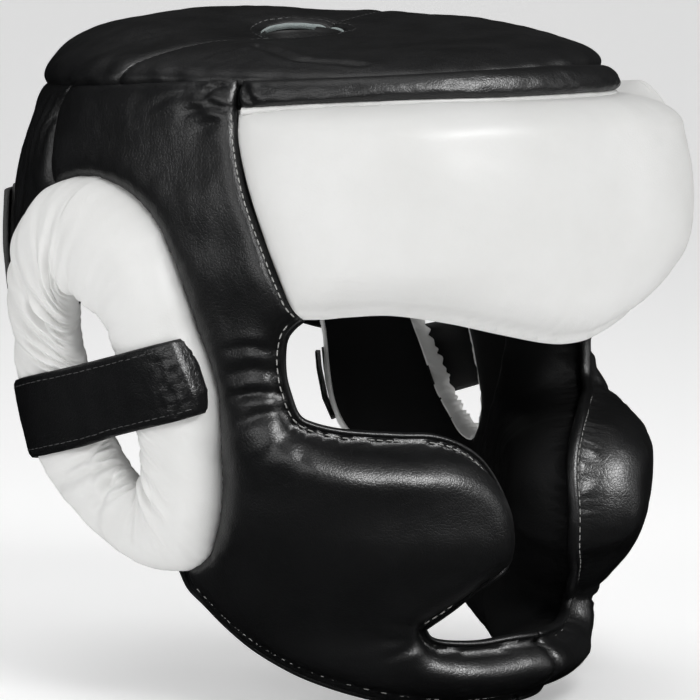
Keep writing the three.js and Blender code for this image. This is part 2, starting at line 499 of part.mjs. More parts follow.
for (const [word, side] of [["right", -1], ["left", 1]]) {
  const at = (poly) => (side > 0 ? poly : mirror(poly));
  add(word + "_side_cover", coverOf(at(sideOutline)), blackLeather);
  add(word + "_side_lining", liningOf(at(sideOutline)), liningLeather);
  add(word + "_temple_padding", foamOf(at(templeOutline)), foam);
  add(word + "_cheek_padding", foamOf(at(cheekOutline)), foam);
  add(word + "_back_cover", coverOf(at(backOutline)), blackLeather);
  add(word + "_back_padding", foamOf(at(backOutline)), foam);
  add(word + "_back_lining", liningOf(at(backOutline)), liningLeather);
  add(word + "_ear_ring_cover", ringLayer(side, 0, LEATHER, -22, 202, 7), whiteLeather);
  add(word + "_ear_ring_lining", ringLayer(side, 0, LEATHER, -26, -154, 3), liningLeather);
  add(word + "_ear_ring_padding", ringLayer(side, LEATHER + 2.2, null, 0, 360, 8), foam);
  add(word + "_ear_strap", strap(side), strapLeather);
}
add("chin_padding", foamOf(chinOutline), foam);

// crown
add("crown_front_cover", crownCoverAll.intersect(half(true)), blackLeather);
add("crown_rear_cover", crownCoverAll.intersect(half(false)), blackLeather);
add("crown_padding", crownFoam, foam);
add("crown_lining", crownLining, liningLeather);

// closure
add("closure_flap", flap, strapLeather);
add("closure_hook_patch", hookPatch, hookTape);
add("closure_loop_patch", loopPatch, loopTape);
add("closure_root_patch", rootPatch, strapLeather);
add("closure_elastic", elastic, elasticWeb);

export default headgear;
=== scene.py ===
# Looks of the padded boxing headgear: stuffed leather panels, ear rings, crown, straps and closure,
# built round the fixed CAD frame. Lengths in the helpers are millimetres; objects are in metres.
import math
import bpy
import numpy as np
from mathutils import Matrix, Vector, noise
from mathutils.geometry import delaunay_2d_cdt


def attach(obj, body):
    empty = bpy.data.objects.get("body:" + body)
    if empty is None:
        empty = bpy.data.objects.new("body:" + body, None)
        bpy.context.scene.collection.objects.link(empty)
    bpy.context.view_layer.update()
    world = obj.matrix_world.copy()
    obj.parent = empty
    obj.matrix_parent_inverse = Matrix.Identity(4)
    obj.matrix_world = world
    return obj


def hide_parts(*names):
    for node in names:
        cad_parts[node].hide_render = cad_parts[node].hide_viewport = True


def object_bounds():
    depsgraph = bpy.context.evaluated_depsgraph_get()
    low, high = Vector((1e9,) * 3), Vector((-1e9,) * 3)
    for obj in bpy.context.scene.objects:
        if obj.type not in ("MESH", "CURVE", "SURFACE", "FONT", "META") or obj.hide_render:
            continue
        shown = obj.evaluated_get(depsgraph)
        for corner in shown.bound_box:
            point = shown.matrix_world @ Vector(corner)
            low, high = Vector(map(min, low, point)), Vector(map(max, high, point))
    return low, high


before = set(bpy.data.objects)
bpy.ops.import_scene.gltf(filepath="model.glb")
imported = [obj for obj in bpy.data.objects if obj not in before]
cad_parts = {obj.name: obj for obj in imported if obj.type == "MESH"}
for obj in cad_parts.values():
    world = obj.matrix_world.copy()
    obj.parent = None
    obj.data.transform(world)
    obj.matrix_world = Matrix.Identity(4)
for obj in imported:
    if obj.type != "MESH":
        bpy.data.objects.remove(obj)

CAD_BOX = [[float(c) for c in v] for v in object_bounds()]
rad = math.radians
AXIS_Y = -8.0
MM = rad(1) * 108.0          # millimetres of outline width per degree
H = 1.7                      # vertex spacing of the visible leather
FLAP_LO, FLAP_HI = 27.0, 67.0

# ------------------------------------------------------------------ tables shared with the CAD part
R_Z = [-130, -110, -90, -70, -50, -30, -10, 10, 30, 50, 70, 90, 110, 130]
R_TABLE = [
  [94.2, 92.6, 88.6, 83.4, 78, 73.2, 69.4, 66.6, 65.1, 64.5, 64.6, 65.1, 65.5, 65.5, 65.8, 66.5, 67.5, 68.5, 69],
  [101.7, 99.3, 96.1, 91.8, 86.6, 82.2, 78.7, 76.2, 74.6, 74, 74.1, 74.5, 74.7, 74.5, 74.2, 74.6, 75.3, 76.2, 76.7],
  [111.1, 105.1, 102.9, 99.6, 94.4, 90.4, 87.5, 85.4, 83.7, 83, 83.3, 83.7, 83.8, 83.1, 82.4, 82.3, 82.5, 83, 83.3],
  [113.9, 112.7, 107.6, 104.2, 100.6, 97.9, 95.9, 94.3, 92.4, 91.5, 91.9, 92.6, 92.6, 91.5, 90.1, 89.3, 88.9, 88.9, 89],
  [114.6, 114.1, 109.2, 105.5, 103.5, 102.7, 101.9, 100.3, 98.1, 97, 97.6, 98.9, 99.4, 98.5, 96.8, 95.9, 95.1, 94.9, 95],
  [112.6, 110.7, 106.2, 104.1, 104, 106.1, 106.6, 104, 101.2, 100, 100.9, 102.8, 104.2, 103.8, 102.5, 101.9, 101.3, 101.2, 101.3],
  [113.9, 112.5, 108.6, 106.2, 106.2, 111.3, 111.7, 106.1, 102.7, 101.5, 102.6, 105.1, 107.3, 107.8, 107.4, 107.5, 107.3, 107.4, 107.5],
  [120.1, 119.7, 119, 117.2, 115.3, 115.7, 112.9, 107.2, 103.7, 102.5, 103.7, 106.6, 109.4, 111, 111.6, 112.6, 112.7, 112.9, 113],
  [127.2, 126.1, 127.4, 126.1, 121.8, 118.2, 112.9, 107.6, 104.2, 103, 104.2, 107.4, 110.7, 113, 114.6, 116.4, 117.1, 117.4, 117.5],
  [126.1, 126.9, 127.6, 126.5, 122.5, 117.2, 111.4, 106.6, 103.3, 102, 103.2, 106.5, 110.1, 112.9, 115.2, 117.8, 119.2, 119.9, 120],
  [123.5, 124.3, 124.6, 123.1, 119, 113.7, 108.1, 103.4, 100.2, 99, 100.2, 103.4, 107.1, 110.1, 113, 116.4, 118.6, 119.7, 120],
  [120, 120.5, 120.1, 117.7, 113.2, 107.8, 102.4, 98.1, 95.1, 94, 95.1, 98.1, 101.6, 104.6, 107.9, 112.1, 115.4, 117.4, 118],
  [116, 116.1, 114.9, 111.6, 106.7, 101.2, 96.1, 92, 89.3, 88.3, 89.3, 92, 95.3, 98.2, 101.6, 106.3, 110.4, 113.2, 114],
  [107, 107, 105.5, 102.1, 97.2, 91.9, 87.1, 83.3, 80.9, 80, 80.9, 83.4, 86.3, 88.9, 92.2, 96.9, 101, 104, 104.8],
]
T_DEG = [0, 30, 60, 90, 120, 150, 180]
T_Z = [-115, -60, -20, 20, 60, 100, 130]
T_TABLE = [
  [25, 28, 30, 24, 20, 17, 17], [30, 34, 37, 28, 22, 18, 17], [30, 34, 36, 26, 21, 18, 17],
  [36, 35, 27, 23, 20, 17, 17], [40, 38, 28, 22, 20, 18, 17], [34, 32, 26, 21, 19, 18, 17], [26, 25, 22, 20, 18, 18, 17],
]
# the stuffed crowns of brow, cheek and chin above the line of the edges
BROW = ([0, 15, 29, 38, 48, 56, 62, 67], [0.62, 0.8, 1, 0.97, 0.78, 0.48, 0.2, 0],
        [17, 22, 28, 32, 39, 44, 48, 56, 66, 79, 89, 97, 105, 112], [4, 4.6, 5.2, 6.4, 9.2, 12.0, 14.4, 16.6, 19, 21.3, 22, 22.5, 22.5, 22])
CHEEK = ([0, 8, 12, 18, 25, 34, 45, 55, 63, 70, 80], [0, 0.3, 0.55, 0.82, 0.95, 1, 0.95, 0.7, 0.4, 0.18, 0],
         [-95, -86, -77, -67, -59, -50, -40, -31, -23, -17, -12, -6, 0, 10], [0, 6.5, 11.5, 16, 19.5, 22, 22.8, 23, 22.5, 20.5, 17, 11, 6, 0])
CHIN = ([0, 30, 45, 60, 75], [1, 1, 0.7, 0.35, 0],
        [-122, -117, -112, -106, -100, -94, -88, -80], [5, 7, 9, 10.5, 10.5, 9, 6, 0])
SEAM_DEG, SEAM_Z = [0, 20, 42, 68, 90, 110, 135, 180], [118, 117, 115, 113, 111.5, 109.5, 108, 107]
BROW_DEG, BROW_Z = [0, 30, 44, 54, 68.5, 72], [107, 106.5, 105.4, 104.4, 102.4, 102]

def fold(deg):
    a = np.abs(np.asarray(deg, float)) % 360
    return np.where(a > 180, 360 - a, a)

def smooth_interp(x, xs, ys):
    """linear interpolation, rounded a little at its nodes"""
    w = (xs[-1] - xs[0]) * 0.012
    return sum(np.interp(np.asarray(x, float) + k * w, xs, ys) for k in (-2, -1, 0, 1, 2)) / 5
seam_z = lambda d: smooth_interp(fold(d), SEAM_DEG, SEAM_Z)
brow_z = lambda d: smooth_interp(fold(d), BROW_DEG, BROW_Z)

DG, ZG = np.arange(-200.0, 201.0), np.arange(-140.0, 151.0)
def blur(a, sd, sz):
    for ax, s in ((1, sd), (0, sz)):
        n = int(3 * s) + 1
        k = np.exp(-0.5 * (np.arange(-n, n + 1) / s) ** 2); k /= k.sum()
        pad_ = [(0, 0), (0, 0)]; pad_[ax] = (n, n)
        a = np.apply_along_axis(lambda v: np.convolve(v, k, "valid"), ax, np.pad(a, pad_, mode="edge"))
    return a
def table_grid(xs, zs, table):
    rows = np.array([np.interp(fold(DG), xs, r) for r in table])
    return np.array([np.interp(ZG, zs, rows[:, i]) for i in range(len(DG))]).T
def crown_grid(c):
    return np.outer(np.interp(ZG, c[2], c[3]), np.interp(fold(DG), c[0], c[1]))
G_EDGE_RAW = table_grid(np.arange(0, 181, 10), R_Z, R_TABLE)
G_EDGE = blur(G_EDGE_RAW, 3.0, 5.0)
G_IN = blur(G_EDGE_RAW - table_grid(T_DEG, T_Z, T_TABLE), 5.0, 8.0)
G_CROWN = blur(np.maximum(np.maximum(crown_grid(BROW), crown_grid(CHEEK)), crown_grid(CHIN)), 2.6, 2.6)
def sample(g, deg, z):
    d = (np.asarray(deg, float) + 180) % 360 - 180 + 200
    h = np.clip(np.asarray(z, float) + 140, 0, 289.99)
    i, j = d.astype(int), h.astype(int)
    a, b = d - i, h - j
    return (g[j, i] * (1 - a) + g[j, i + 1] * a) * (1 - b) + (g[j + 1, i] * (1 - a) + g[j + 1, i + 1] * a) * b
r_edge = lambda d, z: sample(G_EDGE, d, z)
r_in = lambda d, z: sample(G_IN, d, z)
r_crown = lambda d, z: sample(G_CROWN, d, z)
def place(deg, z, r):
    t = np.radians(deg)
    return np.stack(np.broadcast_arrays(r * np.sin(t), AXIS_Y - r * np.cos(t), z), -1)

# ------------------------------------------------------------------ mesh helpers
def quarter(t):
    t = np.clip(t, 0, 1)
    return np.sqrt(np.maximum(0, 1 - (1 - t) ** 2))
def ease(t):
    t = np.clip(t, 0, 1)
    return t * t * (3 - 2 * t)
def catmull(p, step):
    p = np.array(p, float) * [MM, 1]
    q = np.vstack([2 * p[0] - p[1], p, 2 * p[-1] - p[-2]])
    out = []
    for i in range(len(p) - 1):
        a, b, c, d = q[i:i + 4]
        n = max(1, int(round(np.linalg.norm(c - b) / step)))
        t = (np.arange(n) / n)[:, None]
        out.append(0.5 * (2 * b + (c - a) * t + (2 * a - 5 * b + 4 * c - d) * t ** 2 + (3 * b - a - 3 * c + d) * t ** 3))
    return np.vstack(out + [p[-1:]])
def resample(p, step=None, n=None, closed=False):
    p = np.asarray(p, float)
    if closed: p = np.vstack([p, p[:1]])
    s = np.r_[0, np.cumsum(np.linalg.norm(np.diff(p, axis=0), axis=1))]
    if n is None: n = max(2, int(round(s[-1] / step)) + 1)
    t = np.linspace(0, s[-1], n + 1)[:-1] if closed else np.linspace(0, s[-1], n)
    return np.stack([np.interp(t, s, p[:, k]) for k in range(p.shape[1])], 1)
def near(P, line):
    """distance from each point to an open line, and how far along it the nearest point lies"""
    a, b = line[:-1], line[1:]
    e = b - a
    L2 = np.maximum((e ** 2).sum(1), 1e-12)
    s0 = np.r_[0, np.cumsum(np.sqrt(L2))[:-1]]
    best, at = np.full(len(P), 1e9), np.zeros(len(P))
    for k in range(len(a)):
        w = P - a[k]
        t = np.clip((w @ e[k]) / L2[k], 0, 1)
        d = np.hypot(w[:, 0] - t * e[k, 0], w[:, 1] - t * e[k, 1])
        m = d < best
        best[m], at[m] = d[m], s0[k] + t[m] * math.sqrt(L2[k])
    return best, at
def inside(P, poly):
    x, y = P[:, 0], P[:, 1]
    c = np.zeros(len(P), bool)
    for (x0, y0), (x1, y1) in zip(poly, np.roll(poly, -1, 0)):
        if y0 == y1: continue
        m = (y0 > y) != (y1 > y)
        c ^= m & (x < (x1 - x0) * (y - y0) / (y1 - y0) + x0)
    return c
def make(name, verts, faces, mats, face_mat=None, body="shell", replaces=(), smooth=True):
    me = bpy.data.meshes.new(name)
    me.from_pydata((np.asarray(verts, float) / 1000).tolist(), [], [list(map(int, f)) for f in faces])
    me.validate()
    for m in mats if isinstance(mats, (list, tuple)) else [mats]: me.materials.append(m)
    if face_mat is not None: me.polygons.foreach_set("material_index", np.asarray(face_mat, np.int32))
    me.polygons.foreach_set("use_smooth", np.full(len(me.polygons), smooth, bool))
    me.update()
    o = bpy.data.objects.new(name, me)
    bpy.context.scene.collection.objects.link(o)
    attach(o, body)
    if replaces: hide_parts(*replaces)
    return o
def closed_shell(V_out, V_in, F):
    """two skins over one triangulation, joined by a wall along its border"""
    n = len(V_out)
    F = np.asarray(F)
    E = np.vstack([F[:, [0, 1]], F[:, [1, 2]], F[:, [2, 0]]])
    seen = set(map(tuple, E.tolist()))
    rim = [(a, b) for a, b in seen if (b, a) not in seen]
    faces = F.tolist() + (F[:, ::-1] + n).tolist() + [[b, a, a + n, b + n] for a, b in rim]
    used = np.unique(F)
    new = -np.ones(2 * n, int)
    new[used] = np.arange(len(used)); new[used + n] = np.arange(len(used)) + len(used)
    V = np.vstack([V_out[used], V_in[used]])
    return V, [[new[i] for i in f] for f in faces], len(F)
def grid_shell(A, B, wrap=False, closed_j=False):
    """two skins over a rectangular grid of points A and B (rows, columns, 3), with walls round it"""
    n, m = A.shape[:2]
    idx = np.arange(n * m).reshape(n, m)
    N = n * m
    f, tag = [], []
    rows = range(n) if wrap else range(n - 1)
    for i in rows:
        k = (i + 1) % n
        for j in range(m - 1):
            a, b, c, d = idx[i, j], idx[k, j], idx[k, j + 1], idx[i, j + 1]
            f.append([a, b, c, d]); tag.append(0)
            f.append([d + N, c + N, b + N, a + N]); tag.append(1)
        f.append([idx[k, 0], idx[i, 0], idx[i, 0] + N, idx[k, 0] + N]); tag.append(2)
        f.append([idx[i, -1], idx[k, -1], idx[k, -1] + N, idx[i, -1] + N]); tag.append(3)
    if not wrap:
        for j in range(m - 1):
            f.append([idx[0, j], idx[0, j + 1], idx[0, j + 1] + N, idx[0, j] + N]); tag.append(4)
            f.append([idx[-1, j + 1], idx[-1, j], idx[-1, j] + N, idx[-1, j + 1] + N]); tag.append(5)
    return np.vstack([A.reshape(-1, 3), B.reshape(-1, 3)]), f, np.array(tag)
def orient(o):
    """faces point outwards"""
    import bmesh
    bm = bmesh.new(); bm.from_mesh(o.data)
    bmesh.ops.recalc_face_normals(bm, faces=bm.faces)
    bm.to_mesh(o.data); bm.free(); o.data.update()
    return o
def waves(P, seed, size, n=14):
    """soft unevenness of about unit height"""
    g = np.random.default_rng(seed)
    out = np.zeros(len(P))
    for _ in range(n):
        a, L = g.uniform(0, 2 * np.pi), size * g.uniform(0.6, 1.8)
        out += np.sin(2 * np.pi * (P[:, 0] * math.cos(a) + P[:, 1] * math.sin(a)) / L + g.uniform(0, 6.28))
    return out / math.sqrt(n)
def puckers(d, s, length, seed, pitch, amp, reach, width=1.0, lo=None, hi=None):
    """little valleys that run in from a seam: d from the seam, s along it"""
    g = np.random.default_rng(seed)
    out = np.zeros(len(d))
    a, b = (0 if lo is None else lo), (length if hi is None else hi)
    x = a + g.uniform(0, pitch)
    while x < b:
        A, L, W, tilt = amp * g.uniform(0.25, 1.0), reach * g.uniform(0.4, 1.25), width * g.uniform(0.6, 1.5), g.uniform(-0.35, 0.35)
        m = (d < L) & (np.abs(s - x) < 6 * W + L)
        q = (s[m] - x - tilt * d[m]) / (W * (1 + 0.8 * d[m] / L))
        fade = np.clip(1 - d[m] / L, 0, 1) ** 1.3
        out[m] -= A * fade * (np.exp(-q ** 2) - 0.35 * np.exp(-(q / 2.4) ** 2))
        x += pitch * g.uniform(0.5, 1.6)
    return out
def fold_line(P, pts, width, amp, bias=0.0):
    """a soft crease along an open line in outline millimetres: a valley with a raised lip"""
    line = resample(np.array(pts, float) * [MM, 1], 2.0)
    d, s = near(P, line)
    L = np.linalg.norm(np.diff(line, axis=0), axis=1).sum()
    along = np.sin(np.pi * np.clip(s / L, 0.02, 0.98)) ** 0.7
    return amp * along * (-np.exp(-(d / width) ** 2) + 0.55 * np.exp(-((d - 2.1 * width) / (1.3 * width)) ** 2))

# ------------------------------------------------------------------ outlines, left side: (degrees, height)
FSEAM = [[68.5, 102.2], [67.6, 92], [64.6, 74.6], [60.6, 57.4], [57.4, 43.5], [55.2, 33.8], [53, 29.3]]
FLOW = [[53, 29.3], [49, 29.6], [44.8, 30.5], [37.5, 31], [28.4, 28], [17.8, 22.8], [6.7, 18], [0, 17]]
RTOP = [[120.6, 81], [122, 70]]
RING_TOP = [[122, 70], [119.6, 72.6], [116.6, 74], [113.5, 75.3], [107.8, 75.8], [103, 74.4], [97.3, 71.6], [91.6, 66.3], [86.4, 58.8], [82.6, 49.5], [79.5, 39.4], [77.3, 30.6], [75.5, 22.8]]
RING_FRONT = [[75.5, 22.8], [72.8, 12], [70.9, 2], [70.6, -6.3], [70.4, -15], [70.6, -31.7], [71.8, -45.3], [73.8, -53.8], [75.4, -59], [79.1, -63.5], [84.5, -65.9]]
RING_LOW = [[84.5, -65.9], [90.3, -67.3], [98, -64], [105, -57.5], [112, -50], [119, -43], [124.3, -34], [126.8, -24], [127.9, -12], [128.5, 0], [128.9, 5]]
RING_REAR = [[128.9, 5], [129.7, 14], [130.8, 26], [131, 40], [130, 52], [127, 62], [122, 70]]
BSEAM = [[124.6, 108.1], [126.5, 99], [125.6, 92], [124, 86], [122.8, 78], [122, 70]]
JAW = [[84.5, -65.9], [83, -73.5], [79.5, -79], [74.5, -87], [67.4, -95.5], [57.3, -103.5], [46.9, -109], [35.3, -113.5], [24, -116.5], [13, -118], [0, -117.5]]
CHIN_TOP = [[0, -92], [6, -92], [14.7, -93], [24.3, -91], [27.3, -86]]
CHEEK_F = [[27.3, -86], [21, -78], [17.3, -72], [14, -68.5], [11.3, -64], [10.5, -56], [10.6, -50], [11.9, -38], [15.1, -27], [20, -19.5], [26.6, -15], [34, -14], [45, -12], [51.5, -9], [54.1, -6], [55.6, 1], [56.7, 10], [56.5, 21], [55, 26], [53, 29.3]]
NAPE = [[173, 22.5], [165, 22], [155, 20.5], [147, 17.5], [140, 12.5], [134.5, 8], [131.6, 6.2], [128.9, 5]]
def roof(d0, d1, n=14):
    d = np.linspace(d0, d1, n)
    return np.stack([d, seam_z(d)], 1).tolist()

PUFF, TUCK = 1.2, 2.6
KIND = {"flange": (3.4, 14.0, 9.0), "seam": (0.3, 11.0, 7.0), "ring": (0.3, 15.0, 13.0), "roof": (0.3, 12.0, 9.0), "mid": None}
class Pad:
    """one stuffed panel: leather outside, lining inside, over an outline on the head"""
    def __init__(s, segs, h=H, seed=1, folds=(), puck=(), lump=0.45, tuck_ring=4.6, extra=None, drop=1.0):
        s.seed, s.folds, s.puck, s.lump, s.tuck_ring, s.extra, s.drop = seed, folds, puck, lump, tuck_ring, extra, drop
        lines, s.kinds = [], {}
        for kind, pts in segs: lines.append((kind, resample(catmull(pts, h), h)))
        s.lines = lines
        bnd = []
        for i, (kind, c) in enumerate(lines):
            nxt = lines[(i + 1) % len(lines)][1][0]
            bnd.append(c[:-1] if np.linalg.norm(nxt - c[-1]) < 0.8 else c)
            s.kinds.setdefault(kind, []).append(c)
        s.outline = np.vstack(bnd)
        lo, hi = s.outline.min(0), s.outline.max(0)
        g = []
        for j, y in enumerate(np.arange(lo[1], hi[1], h * 0.866)):
            x = np.arange(lo[0] + (j % 2) * h / 2, hi[0], h)
            g.append(np.stack([x, np.full(len(x), y)], 1))
        g = np.vstack(g)
        g = g[inside(g, s.outline)]
        d, _ = near(g, np.vstack([s.outline, s.outline[:1]]))
        g = g[d > 0.6 * h]
        n = len(s.outline)
        V = np.vstack([s.outline, g])
        r = delaunay_2d_cdt([Vector(v) for v in V.tolist()], [(i, (i + 1) % n) for i in range(n)], [], 1, 1e-5, False)
        s.P = np.array([[v.x, v.y] for v in r[0]])
        F = np.array([f for f in r[2] if len(f) == 3])
        a, b, c = s.P[F[:, 0]], s.P[F[:, 1]], s.P[F[:, 2]]
        area = (b[:, 0] - a[:, 0]) * (c[:, 1] - a[:, 1]) - (b[:, 1] - a[:, 1]) * (c[:, 0] - a[:, 0])
        F[area < 0] = F[area < 0][:, ::-1]
        s.F = F[(np.abs(area) > 1e-4) & inside((a + b + c) / 3, s.outline)]
    def dist(s, P):
        out = {}
        for kind, ls in s.kinds.items():
            best, at, off = np.full(len(P), 1e9), np.zeros(len(P)), 0
            for c in ls:
                d, a = near(P, c)
                m = d < best
                best[m], at[m] = d[m], a[m] + off
                off += np.linalg.norm(np.diff(c, axis=0), axis=1).sum() + 50
            out[kind] = (best, at, off)
        return out
    def profiles(s, D, P):
        pc, ps = np.ones(len(P)), np.ones(len(P))
        for kind, (d, a, n) in D.items():
            if KIND[kind] is None: continue
            f, dc, ds = KIND[kind]
            pc *= quarter((d - f) / dc)
            ps *= quarter((d - f) / ds)
        return pc, ps
    def outer(s, P, D=None, detail=True):
        D = D or s.dist(P)
        deg, z = P[:, 0] / MM, P[:, 1]
        pc, ps = s.profiles(D, P)
        tuck = TUCK + ((s.tuck_ring - TUCK) * np.exp(-(D["ring"][0] / 9) ** 2) if "ring" in D else 0)
        if "roof" in D: tuck = tuck + (s.drop - TUCK) * np.exp(-(D["roof"][0] / 8) ** 2)
        r = r_edge(deg, z) + r_crown(deg, z) * pc + PUFF - (PUFF + tuck) * (1 - ps)
        if "mid" in D: r -= 2.2 * (1 - quarter(D["mid"][0] / 6.0))
        if detail:
            w = s.lump * waves(P, s.seed, 34) * ps + 0.06 * waves(P, s.seed + 1, 9, 18) * ps
            for k, (kind, pitch, amp, reach, width) in enumerate(s.puck):
                if kind in D:
                    d, a, n = D[kind]
                    f = KIND[kind][0] if KIND[kind] else 0
                    w += puckers(np.maximum(d - f, 0), a, n, s.seed * 7 + k, pitch, amp, reach, width) * np.minimum(1, 0.25 + np.maximum(d - f, 0) / 2.5)
            for pts, width, amp in s.folds: w += fold_line(P, pts, width, amp)
            r = r + w
        return r
    def lift(s, P, D):
        """how far the stuffing pushes the leather up past its seam"""
        return s.extra(P, D) if s.extra is not None else 0
    def inner(s, P, D=None):
        D = D or s.dist(P)
        deg, z = P[:, 0] / MM, P[:, 1]
        lo, edge = r_in(deg, z), r_edge(deg, z) - TUCK - 3.4
        pf = quarter((D["flange"][0] - 3.0) / 17.0) if "flange" in D else 1.0
        r = lo + (edge - lo) * (1 - pf)
        for kind in ("seam", "roof"):
            if kind in D: r = r + 2.4 * (1 - quarter(D[kind][0] / 6.0)) * (pf if np.ndim(pf) else 1)
        if "ring" in D: r = r + np.maximum(r_edge(deg, z) - 9.4 - r, 0) * (1 - quarter(D["ring"][0] / 15.0))
        return r - 0.5 * waves(P, s.seed + 5, 26) * pf - 0.22 * waves(P, s.seed + 6, 8, 16) * pf
    def xyz(s, P, r, D=None, lifted=True):
        z = P[:, 1] + (s.lift(P, D or s.dist(P)) if lifted else 0)
        return place(P[:, 0] / MM, z, r)

def mirrored(V, faces, side):
    V = np.array(V, float)
    if side < 0:
        V[:, 0] *= -1
        faces = [f[::-1] for f in faces]
    return V, faces

def build_pad(pad, side, cover, foam, lining, cover_mat, rep_cover, rep_foam, rep_lining, inner_segs=None):
    P = pad.P
    D = pad.dist(P)
    ro = pad.outer(P, D)
    ri = pad.inner(P, D)
    outer = pad.xyz(P, ro, D)
    back = pad.xyz(P, np.maximum(ro - 1.9, ri + 1.6), D)
    V, F, n = closed_shell(outer, back, pad.F)
    V, F = mirrored(V, F, side)
    c = make(cover, V, F, cover_mat, replaces=rep_cover)
    # lining
    top = pad.xyz(P, ri + 1.35, D, False)
    low = pad.xyz(P, ri, D, False)
    V, F, n = closed_shell(top, low, pad.F)
    V, F = mirrored(V, F, side)
    l = make(lining, V, F, M["lining"], replaces=rep_lining)
    # foam between them
    df = D["flange"][0] if "flange" in D else np.full(len(P), 99.0)
    dm = np.min([d for d, _, _ in D.values()], axis=0)
    keep = (df > 6.0) & (dm > 1.0) & (ro - ri > 7.0) & ((np.abs(pad.lift(P, D)) < 1.0) | (D["roof"][0] > 22.0 if "roof" in D else True))
    Fk = pad.F[keep[pad.F].all(1)]
    a, b = pad.xyz(P, ro - 2.4, D), pad.xyz(P, ri + 2.0, D, False)
    V, F, n = closed_shell(a, b, Fk)
    V, F = mirrored(V, F, side)
    make(foam, V, F, M["foam"], replaces=rep_foam)
    return c
# ------------------------------------------------------------------ stitches
def capsule():
    v, f = [], []
    xs = [(-1.0, 0.35), (-0.8, 0.85), (-0.35, 1.0), (0.35, 1.0), (0.8, 0.85), (1.0, 0.35)]
    for x, r in xs:
        for k in range(6):
            v.append((x, r * math.cos(k * math.pi / 3), r * math.sin(k * math.pi / 3)))
    for i in range(len(xs) - 1):
        for k in range(6):
            a, b = i * 6 + k, i * 6 + (k + 1) % 6
            f.append([a, a + 6, b + 6, b])
    f.append([0, 1, 2, 3, 4, 5]); f.append([35, 34, 33, 32, 31, 30])
    return np.array(v), np.array(f[:-2]), f[-2:]
CAP_V, CAP_F, CAP_E = capsule()
class Threads:
    def __init__(s): s.V, s.F, s.n = [], [], 0
    def row(s, X, N, pitch=3.4, length=2.3, radius=0.3, sink=0.08, gap=None, seed=3):
        """X: points along the row in millimetres, N: outward normals there"""
        g = np.random.default_rng(seed)
        c = np.r_[0, np.cumsum(np.linalg.norm(np.diff(X, axis=0), axis=1))]
        at = np.arange(pitch / 2, c[-1] - pitch / 2, pitch)
        at = at + g.normal(0, 0.12, len(at))
        ip = lambda t, A: np.stack([np.interp(t, c, A[:, k]) for k in range(3)], 1)
        p, q = ip(at - length / 2, X), ip(at + length / 2, X)
        n = ip(at, N)
        for a, b, m in zip(p, q, n):
            t = (b - a); L = np.linalg.norm(t)
            if L < 0.3: continue
            t /= L; m = m - t * (m @ t); m /= np.linalg.norm(m) + 1e-9; w = np.cross(t, m)
            o = (a + b) / 2 + m * (radius * 0.35 - sink) + w * g.normal(0, 0.06)
            s.V.append(o + CAP_V[:, :1] * t * L / 2 + CAP_V[:, 1:2] * m * radius * 0.8 + CAP_V[:, 2:] * w * radius)
            s.F += (CAP_F + s.n).tolist() + [[i + s.n for i in e] for e in CAP_E]
            s.n += len(CAP_V)
    def done(s, name, mat, body="shell"):
        return orient(make(name, np.vstack(s.V), s.F, mat, body=body))
def pad_row(th, pad, line, side, d, **k):
    """a row of stitches on a pad, at distance d inside one of its edges"""
    line = resample(line, 1.2)
    t = np.gradient(line, axis=0); t /= np.linalg.norm(t, axis=1)[:, None] + 1e-9
    n = np.stack([-t[:, 1], t[:, 0]], 1)
    mid = len(line) // 2
    sgn = 1 if inside(line[mid:mid + 1] + n[mid:mid + 1] * d, pad.outline)[0] else -1
    q = line + sgn * n * d
    keep = inside(q, pad.outline)
    q = q[keep]
    if len(q) < 4: return
    q[:, 0] = np.convolve(np.pad(q[:, 0], 2, mode="edge"), np.ones(5) / 5, "valid")
    q[:, 1] = np.convolve(np.pad(q[:, 1], 2, mode="edge"), np.ones(5) / 5, "valid")
    f = lambda Q: pad.xyz(Q, pad.outer(Q))
    X = f(q)
    U, W = f(q + [0.8, 0]) - X, f(q + [0, 0.8]) - X
    N = np.cross(U, W); N /= np.linalg.norm(N, axis=1)[:, None] + 1e-9
    if side < 0: X = X * [-1, 1, 1]; N = N * [-1, 1, 1]
    th.row(X, N, **k)

